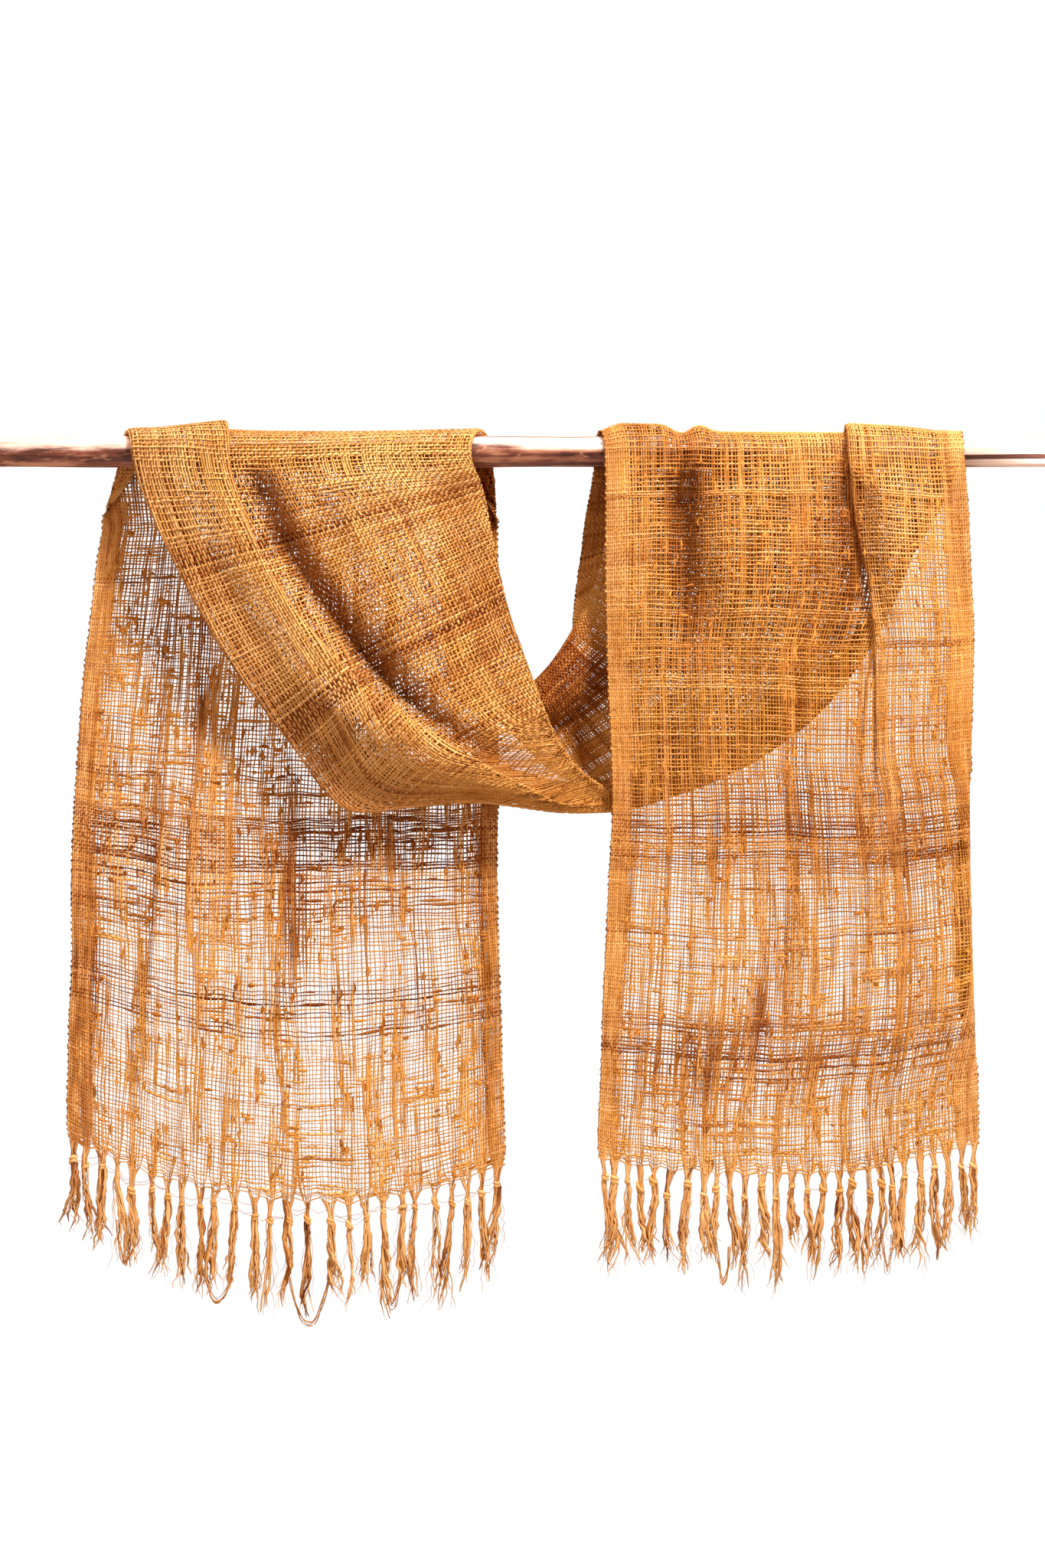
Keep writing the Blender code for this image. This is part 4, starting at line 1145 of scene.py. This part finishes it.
    def add_hairs(self, threads, first, last, rng):
        """Fine bright hairs of silk that stray over the holes of the weave."""
        weft = self.weave.weft
        s = rng.uniform(weft[first] + 6, weft[last - 1] - 6, HAIRS)
        w = rng.uniform(4, CLOTH_WIDTH - 4, HAIRS)
        level = rng.random(HAIRS) < 0.4
        turn = rng.normal(0, 0.35, HAIRS) + np.where(level, math.pi / 2, 0)
        far = rng.uniform(-0.5, 0.5, (HAIRS, 1)) + np.array((-0.5, 0.5))
        far = np.sort(far, 1) * rng.uniform(*HAIR_LENGTH, (HAIRS, 1))
        s = s[:, None] + far * np.cos(turn)[:, None]
        w = w[:, None] + far * np.sin(turn)[:, None]
        wide = rng.uniform(*HAIR_WIDTH, (HAIRS, 1)) * np.array((1.0, 0.8))
        shade = np.array(self.colours.glow[:3]) * rng.uniform(0.85, 1.15, (HAIRS, 1))
        self.add_loose(threads, s, w, level, wide, 0.4 * wide, shade, "hair")

    def add_loose(self, threads, s, w, level, wide, high, shade, kind):
        """Short loose threads that lie on the cloth, along the warps or level with the wefts."""
        point, out, ahead, across = self.drape.frame_at(s, np.clip(w, 1, CLOTH_WIDTH - 1))
        side = np.where(level[:, None, None], ahead, across)
        colour = np.repeat(shade[:, None], s.shape[1], 1)
        threads.add(point, side, out, wide / TRIANGLE, high, colour, kind)


class SCARF_OT_weave(bpy.types.Operator):
    """Weave the eight stretches of cloth, every warp and weft thread, where they hang"""

    bl_idname = "scarf.weave"
    bl_label = "Weave the cloth"

    def execute(self, context):
        cloth = Cloth.get(context.scene)
        for name, start, end, node in stretch_ends(cloth.drape.marks):
            first, last = cloth.rows_of(start, end + (2 if end == cloth.drape.length else 0))
            threads = Threads()
            cloth.add_warps(threads, first, last, WARP_STEPS[node.split("_")[0]])
            cloth.add_wefts(threads, first, last)
            if node.startswith("tail"):
                rng = np.random.default_rng(first + 7)
                cloth.add_slubs(threads, first, last, rng)
                cloth.add_hairs(threads, first, last, rng)
            piece = threads.build(name, cloth.silk)
            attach(piece, "root")
            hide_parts(node)
        return {"FINISHED"}


class Tassel:
    """How the strands below one knot hang: in three wavy locks that turn about each other."""

    def __init__(self, knot, length, rng):
        self.knot, self.length = knot, length
        self.lean, self.curl = rng.normal(0, 3.8), rng.uniform(0.8, 2.6)
        self.phase, self.turns = rng.uniform(0, TURN, 2), rng.uniform(-1.3, 1.3)
        self.spread = rng.uniform(1.2, 3.4)

    def fall(self, b, loose, rng):
        """The way of one strand, by b, its share of the way from the knot to the tip."""
        lock = rng.integers(0, 3) * 2.09 + self.phase[0] + self.turns * TURN * b
        apart = 0.9 + self.spread * b
        own = self.length * rng.uniform(0.74, 1.05)
        wave_x, wave_y, _ = rng.uniform(0, TURN, 3)
        kink = rng.normal(0, 1, len(b)) * np.clip(b * 6, 0, 1)
        tip = rng.normal(0, 3.2) * ramp(b, 0.72, 1)
        waves, splay = rng.uniform(16, 32), rng.normal(0, 1.0)
        x = (self.lean * b ** 1.5 + self.curl * np.sin(self.phase[1] + 5 * b) * b ** 0.7
             + apart * np.cos(lock) + 0.62 * loose ** 0.5 * np.sin(wave_x + waves * b) * b ** 0.4
             + loose * splay * b ** 1.3 + 0.34 * kink + tip)
        y = (0.8 * apart * np.sin(lock) + 0.6 * np.sin(wave_y + 15 * b) * b
             + min(loose, 2) * rng.normal(0, 0.6) * b)
        curled = ramp(b, 0.8, 1) * rng.uniform(0, 4.0)
        return np.stack([x, y, -own * b + curled], 1)


class SCARF_OT_fringes(bpy.types.Operator):
    """Gather the warp ends at both hems, knot them, and let the strands hang"""

    bl_idname = "scarf.fringes"
    bl_label = "Knot the fringes"

    def execute(self, context):
        cloth = Cloth.get(context.scene)
        sizes = context.scene.scarf_sizes
        for name, node, length, end, seed in (
                ("left_fringe", "fringe_left", sizes.left_strands, 0, 52),
                ("right_fringe", "fringe_right", sizes.right_strands, -1, 62)):
            threads = Threads()
            self.tassels(cloth, threads, end, length / MM, seed)
            piece = threads.build(name, cloth.silk)
            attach(piece, "root")
            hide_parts(node)
        return {"FINISHED"}

    def tassels(self, cloth, threads, end, length, seed):
        """The tassels of one hem, the loops between them and the stray wefts."""
        weave, rng = cloth.weave, np.random.default_rng(seed)
        hem = cloth.drape.look(cloth.drape.grid, weave.s[end], weave.w[end])
        groups = weave.groups[end]
        drop = cloth.sizes.knot_drop / MM
        strands, knots = [], []
        for first, last in zip(groups[:-1], groups[1:]):
            middle = hem[first:last].mean(0)
            knot = middle + (rng.normal(0, 1.2), rng.normal(0, 0.4), -drop * rng.uniform(0.65, 1.4))
            knots.append(knot)
            hang = Tassel(knot, length * rng.uniform(0.74, 1.06), rng)
            tone = weave.warp_tone[end, first:last]
            self.knot(threads, knot, cloth, tone.mean(), rng)
            for n in range(first, last):
                brown = min(1.1, weave.warp_brown[end, n] * 0.5 + max(0, rng.normal(-0.16, 0.36)))
                shade = np.clip(tone[n - first] + 0.52 + rng.normal(0, 0.22), 0, 1)
                wide = rng.uniform(0.8, 3.0)
                strands.append(self.strand(hem[n], hang, wide, shade, brown, rng))
                if rng.random() < 0.75:
                    strands.append(self.strand(hem[n], hang, wide * 0.55, shade + 0.1, brown * 0.5,
                                               rng, loose=2.2))
            for _ in range(rng.integers(2, 5)):
                near = hem[rng.integers(first, last)]
                strands.append(self.strand(near, hang, 0.30, 0.7, 0.1, rng, loose=5.5))
        for k, to, low in LINKS[end]:
            strands += self.link(knots[k], knots[to], low, rng)
        for start, finish in zip(knots[:-1], knots[1:]):
            for _ in range(rng.integers(1, 4) if end == 0 else rng.integers(0, 2)):
                strands.append(self.stray_weft(start, finish, drop, rng))
        self.lay(threads, strands, cloth.colours)

    def lay(self, threads, strands, colours):
        """Adds the strands, turned flat to the viewer; those that run level are a set apart."""
        centre, wide, tone, brown = (np.array([strand[k] for strand in strands])
                                     for k in range(4))
        side = np.broadcast_to(np.array((1.0, 0, 0)), centre.shape).copy()
        way = np.abs(np.gradient(centre, axis=1))
        level = way[..., 0] > 1.2 * way[..., 2]
        side[level] = (0, 0, 1.0)
        front = np.broadcast_to(np.array((0, -1.0, 0)), centre.shape)
        for chosen in (~level.any(1), level.any(1)):
            if chosen.any():
                colour = thread_colours(tone[chosen], brown[chosen], colours)
                threads.add(centre[chosen], side[chosen], front[chosen], wide[chosen] / TRIANGLE,
                            wide[chosen] * 0.42, colour, "strand")

    def strand(self, start, hang, wide, tone, brown, rng, loose=1.0):
        """A warp from the hem into its knot, and on down into the tassel."""
        ring = np.arange(STRAND_RINGS)
        a = np.clip(ring / KNOT_RING, 0, 1)
        b = ramp(ring, KNOT_RING, STRAND_RINGS - 1)
        entry = hang.knot + (rng.normal(0, 0.8), rng.normal(0, 0.6), 1.2)
        bow = 1 - (1 - a) ** rng.uniform(1.2, 2.0)
        path = start + (entry - start) * np.stack([bow, bow, a], 1)
        path = path + hang.fall(b, loose, rng) * (b > 0)[:, None]
        run = rng.uniform(0, TURN)
        wide = wide * (1 + 0.26 * np.sin(run + 9 * b) + rng.uniform(-0.40, 0.45, STRAND_RINGS))
        wide *= np.clip(1.25 - b ** 3, 0.25, 1)
        wide[:KNOT_RING] *= 0.85
        shade = tone + 0.12 * np.sin(run + 5 * b)
        stain = (brown * (1 + 0.8 * np.sin(2.3 * run + 8 * b))
                 + 0.16 * np.clip(np.sin(run + 21 * b), 0, 1))
        return path, wide, np.clip(shade, 0, 1), np.clip(stain, 0, 1.3)

    def link(self, start, finish, low, rng):
        """Strands of two tassels caught together in a loop near their tips."""
        t = np.linspace(0, 1, STRAND_RINGS)
        loops = []
        for _ in range(4):
            a = start + (0, rng.normal(0, 1), -low * 0.55)
            b = finish + (0, rng.normal(0, 1), -low * 0.5)
            path = a * (1 - t)[:, None] + b * t[:, None]
            path[:, 2] -= low * rng.uniform(0.40, 0.52) * np.sin(np.pi * t) ** 0.8
            path[:, 0] += 0.9 * np.sin(rng.uniform(0, TURN) + 11 * t)
            wide = rng.uniform(0.4, 1.3) * (1 + 0.25 * np.sin(rng.uniform(0, TURN) + 17 * t))
            tone, brown = rng.uniform(0.4, 0.75), rng.uniform(0, 0.25)
            loops.append((path, wide, 0 * t + tone, 0 * t + brown))
        return loops

    def stray_weft(self, start, finish, drop, rng):
        """A loose weft that sags from one knot to the next."""
        t = np.linspace(0, 1, STRAND_RINGS)
        up = rng.uniform(0.1, 0.75) * drop
        path = start * (1 - t)[:, None] + finish * t[:, None]
        path[:, 2] += up - rng.uniform(0.8, 4.5) * np.sin(np.pi * t)
        path[:, 2] += 0.4 * np.sin(rng.uniform(0, TURN) + 9 * t)
        path[:, 1] -= 0.8
        return path, 0 * t + rng.uniform(0.28, 0.42), 0 * t + 0.45, 0 * t + 0.2

    def knot(self, threads, centre, cloth, tone, rng):
        """The gathered threads tied in one overhand knot: a coil round a core."""
        def add(path, side, out, wide, high, tone, brown, flat):
            side, out = (np.broadcast_to(way, path.shape) for way in (side, out))
            colour = thread_colours(tone, brown, cloth.colours)
            threads.add(*(v[None] for v in (path, side, out, wide, high, colour)), flat, sides=5)

        reach = KNOT_REACH * rng.uniform(0.80, 1.2)
        t = np.linspace(0, 1, KNOT_RINGS)
        turn = rng.uniform(0, TURN) + KNOT_TURNS * 2 * math.pi * t
        cos, sin = np.cos(turn), np.sin(turn)
        tilt, lean = rng.normal(0, 0.45), rng.normal(0, 0.25)
        height = 0.62 - 1.24 * t + 0.62 * tilt * cos + lean * sin
        coil = np.stack([0.62 * cos, 0.52 * sin, height], 1)
        wide = reach * (0.40 + 0.10 * np.sin(math.pi * t) + 0.04 * np.sin(9 * t))
        add(centre + reach * coil, np.stack([cos, sin, 0 * t], 1), (0, 0, 1.0), wide, 1.05 * wide,
            np.clip(tone + 0.20 + 0.10 * sin, 0, 1), 0 * t, "knot")
        heights = np.array((1.5, 1.0, 0, -1.0, -1.5))
        wide = reach * np.array((0.34, 0.46, 0.52, 0.46, 0.34))
        add(centre + reach * heights[:, None] * (0, 0, 1), (1.0, 0, 0), (0, -1.0, 0), wide,
            0.75 * wide, 0 * wide + 0.8 * tone, 0 * wide + 0.15, "core")


class SCARF_OT_rod(bpy.types.Operator):
    """Turn the wooden rod, with its slightly uneven hand-cut surface"""

    bl_idname = "scarf.rod"
    bl_label = "Turn the rod"

    def execute(self, context):
        bpy.ops.object.select_all(action="DESELECT")
        bpy.ops.mesh.primitive_cylinder_add(
            vertices=ROD_CORNERS, radius=(ROD_RADIUS - ROD_SPARE) * MM, location=(0, 0, 0),
            depth=2 * ROD_HALF_LENGTH * MM, rotation=(0, math.radians(90), 0))
        pole = context.object
        pole.name = pole.data.name = "rod_pole"
        bpy.ops.object.transform_apply(rotation=True)
        self.pick_edges(pole, lambda a, b: abs(a.x - b.x) > MM)
        bpy.ops.mesh.subdivide(number_cuts=ROD_RINGS)
        self.pick_edges(pole, lambda a, b: min(abs(a.x), abs(b.x)) > (ROD_HALF_LENGTH - 0.1) * MM)
        bpy.ops.mesh.bevel(offset=ROD_BEVEL * MM, segments=3, affect="EDGES")
        for at, size in ROD_WAISTS:
            near = min((v.co.x for v in pole.data.vertices), key=lambda x: abs(x - at * MM))
            self.pick_edges(pole, lambda a, b: max(abs(a.x - near), abs(b.x - near)) < 0.1 * MM)
            bpy.ops.transform.resize(value=(1, size, size), use_proportional_edit=True,
                                     proportional_edit_falloff="SMOOTH",
                                     proportional_size=ROD_WAIST_REACH * MM,
                                     center_override=(near, 0, 0))
        bpy.ops.object.mode_set(mode="OBJECT")
        for name, scale, strength in ROD_DENTS:
            unevenness = bpy.data.textures.new(name, "CLOUDS")
            unevenness.noise_scale = scale * MM
            moved = pole.modifiers.new(name, "DISPLACE")
            moved.texture, moved.strength, moved.mid_level = unevenness, strength * MM, 0.5
            bpy.ops.object.modifier_apply(modifier=name)
        bpy.ops.object.shade_smooth_by_angle(angle=math.radians(40))
        pole.data.materials.append(wood_surface(context.scene.scarf_colours))
        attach(pole, "root")
        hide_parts("rod")
        return {"FINISHED"}

    def pick_edges(self, pole, wanted):
        """Leaves only the edges selected whose two ends are as wanted, in edit mode."""
        bpy.ops.object.mode_set(mode="EDIT")
        bpy.ops.mesh.select_mode(type="EDGE")
        bpy.ops.mesh.select_all(action="DESELECT")
        bpy.ops.object.mode_set(mode="OBJECT")
        points = pole.data.vertices
        for edge in pole.data.edges:
            edge.select = wanted(*(points[n].co for n in edge.vertices))
        bpy.ops.object.mode_set(mode="EDIT")


class SCARF_OT_stage(bpy.types.Operator):
    """Set the camera level before the rod, a white room, a pale floor and soft lights"""

    bl_idname = "scarf.stage"
    bl_label = "Set the stage"

    def execute(self, context):
        scene, sizes = context.scene, context.scene.scarf_sizes
        bpy.ops.object.select_all(action="DESELECT")
        bpy.ops.mesh.primitive_circle_add(vertices=96, radius=1.45, fill_type="NGON",
                                          location=(0, 0, -1.3))
        floor = context.object
        floor.name = "floor"
        floor.data.materials.append(floor_surface())
        camera = bpy.data.cameras.new("camera")
        camera.sensor_fit = "VERTICAL"
        camera.sensor_height = SENSOR_HEIGHT
        distance = sizes.camera_distance
        camera.lens = SENSOR_HEIGHT * distance / (PHOTO_HEIGHT * PHOTO_PIXEL * MM)
        camera.clip_end = 50
        viewer = bpy.data.objects.new("camera", camera)
        viewer.location = (0, -distance, PHOTO_MIDDLE * MM)
        viewer.rotation_euler = (math.radians(90), 0, 0)
        scene.collection.objects.link(viewer)
        scene.camera = viewer
        # Each light's name, place, what it points at, size, spread in degrees and power.
        for name, place, aim, size, spread, power in (
                ("key", (1.15, -1.25, 1.95), (0, 0, -0.25), 0.45, 180, sizes.key_power),
                ("fill", (-1.7, -1.9, 0.4), (0, 0, -0.35), 1.4, 180, sizes.fill_power),
                ("top", (-0.25, -0.25, 2.1), (0, 0, -0.1), 0.8, 180, sizes.top_power),
                ("end", (0.60, -0.8, 0.4), (0.49, 0, 0), 0.1, 12, sizes.end_power)):
            lamp = bpy.data.lights.new(name, "AREA")
            lamp.size, lamp.energy, lamp.spread = size, power, math.radians(spread)
            held = bpy.data.objects.new(name, lamp)
            held.location = place
            way = np.array(aim) - np.array(place)
            flat = math.hypot(way[0], way[1])
            held.rotation_euler = (math.atan2(flat, -way[2]), 0, math.atan2(-way[0], way[1]))
            scene.collection.objects.link(held)
        world = bpy.data.worlds.new("white_room")
        world.use_nodes = True
        scene.world = world
        nodes, links = world.node_tree.nodes, world.node_tree.links
        room = nodes["Background"]
        seen = nodes.new("ShaderNodeLightPath")
        glow = nodes.new("ShaderNodeMix")
        glow.data_type = "RGBA"
        glow.inputs[6].default_value = context.scene.scarf_colours.room
        glow.inputs[7].default_value = (1, 1, 1, 1)
        links.new(seen.outputs["Is Camera Ray"], glow.inputs["Factor"])
        links.new(glow.outputs[2], room.inputs["Color"])
        scene.view_settings.view_transform = "Standard"
        return {"FINISHED"}


def length_property(name, description, value, digits=5):
    return FloatProperty(name=name, description=description, default=value, unit="LENGTH",
                         precision=digits)


def power_property(name, description, value):
    return FloatProperty(name=name, description=description, default=value, unit="POWER")


class SCARF_PG_sizes(bpy.types.PropertyGroup):
    warp_pitch: length_property("Warp pitch", "Distance between warp threads", 0.00235)
    weft_pitch: length_property("Weft pitch", "Distance between weft threads", 0.00292)
    thread_width: length_property("Thread width", "Width of a thin thread", 0.001)
    thread_height: length_property("Thread height", "Thickness of a wide thread", 0.001)
    thread_rise: length_property("Thread rise", "How far wefts go over and under", 0.00036)
    edge_loop: length_property("Edge loop", "How far the weft loops out at an edge", 0.0014)
    knot_drop: length_property("Knot drop", "Distance from the hem to the knots", 0.0145, 4)
    left_strands: length_property("Left strands", "Length below the left knots", 0.080, 3)
    right_strands: length_property("Right strands", "Length below the right knots", 0.074, 3)
    left_knots: IntProperty(name="Left knots", description="Knots on the left hem", default=26)
    right_knots: IntProperty(name="Right knots", description="Knots on the right hem", default=27)
    camera_distance: length_property("Camera distance", "From the rod to the camera", 2.6, 2)
    key_power: power_property("Key light", "Power of the main light", 142.0)
    fill_power: power_property("Fill light", "Power of the light from the left", 15.0)
    top_power: power_property("Top light", "Power of the light from above", 30.0)
    end_power: power_property("End light", "Power of the light by the rod's end", 1.2)


def colour_property(name, description, value):
    return FloatVectorProperty(name=name, description=description, subtype="COLOR", size=4,
                               min=0, max=1, default=(*value, 1))


class SCARF_PG_colours(bpy.types.PropertyGroup):
    deep: colour_property("Deep ochre", "The darkest golden threads", (0.40, 0.138, 0.016))
    gold: colour_property("Gold", "Most threads", (0.65, 0.286, 0.063))
    pale: colour_property("Pale gold", "The lightest threads", (0.86, 0.500, 0.200))
    tuft: colour_property("Tuft", "Loose tufts of silk in the weave", (0.76, 0.330, 0.065))
    glow: colour_property("Glow", "Thin threads with light behind", (0.86, 0.450, 0.065))
    # Umber also darkens threads as painted shade, in deep folds and in shaded patches.
    umber: colour_property("Umber", "Stain of the brown threads", (0.29, 0.14, 0.095))
    wood_dark: colour_property("Dark wood", "Dark blotches on the rod", (0.060, 0.018, 0.013))
    wood: colour_property("Wood", "The rod's middle shade", (0.23, 0.068, 0.042))
    wood_light: colour_property("Light wood", "Light flecks on the rod", (0.55, 0.25, 0.14))
    room: colour_property("Room", "Soft light from all round", (0.37, 0.202, 0.086))
    # The pale of the painted highlight on the rod's top and right end.
    wood_painted_highlight: colour_property("Worn wood", "The weathered top of the rod", (0.94, 0.70, 0.60))


class SCARF_PT_panel(bpy.types.Panel):
    bl_idname = "SCARF_PT_panel"
    bl_label = "Scarf"
    bl_space_type = "VIEW_3D"
    bl_region_type = "UI"
    bl_category = "Scarf"

    def draw(self, context):
        layout = self.layout
        for group in (context.scene.scarf_sizes, context.scene.scarf_colours):
            for name in group.__annotations__:
                layout.prop(group, name)
        for operator in OPERATORS:
            layout.operator(operator.bl_idname)


OPERATORS = (SCARF_OT_rod, SCARF_OT_fringes, SCARF_OT_weave, SCARF_OT_stage)
CLASSES = (SCARF_PG_sizes, SCARF_PG_colours, *OPERATORS, SCARF_PT_panel)


def register():
    for cls in CLASSES:
        bpy.utils.register_class(cls)
    bpy.types.Scene.scarf_sizes = PointerProperty(type=SCARF_PG_sizes)
    bpy.types.Scene.scarf_colours = PointerProperty(type=SCARF_PG_colours)


def unregister():
    del bpy.types.Scene.scarf_sizes, bpy.types.Scene.scarf_colours
    for cls in reversed(CLASSES):
        bpy.utils.unregister_class(cls)


def main():
    register()
    bpy.ops.scarf.stage()
    bpy.ops.scarf.rod()
    bpy.ops.scarf.fringes()
    bpy.ops.scarf.weave()


if __name__ == "__main__":
    main()
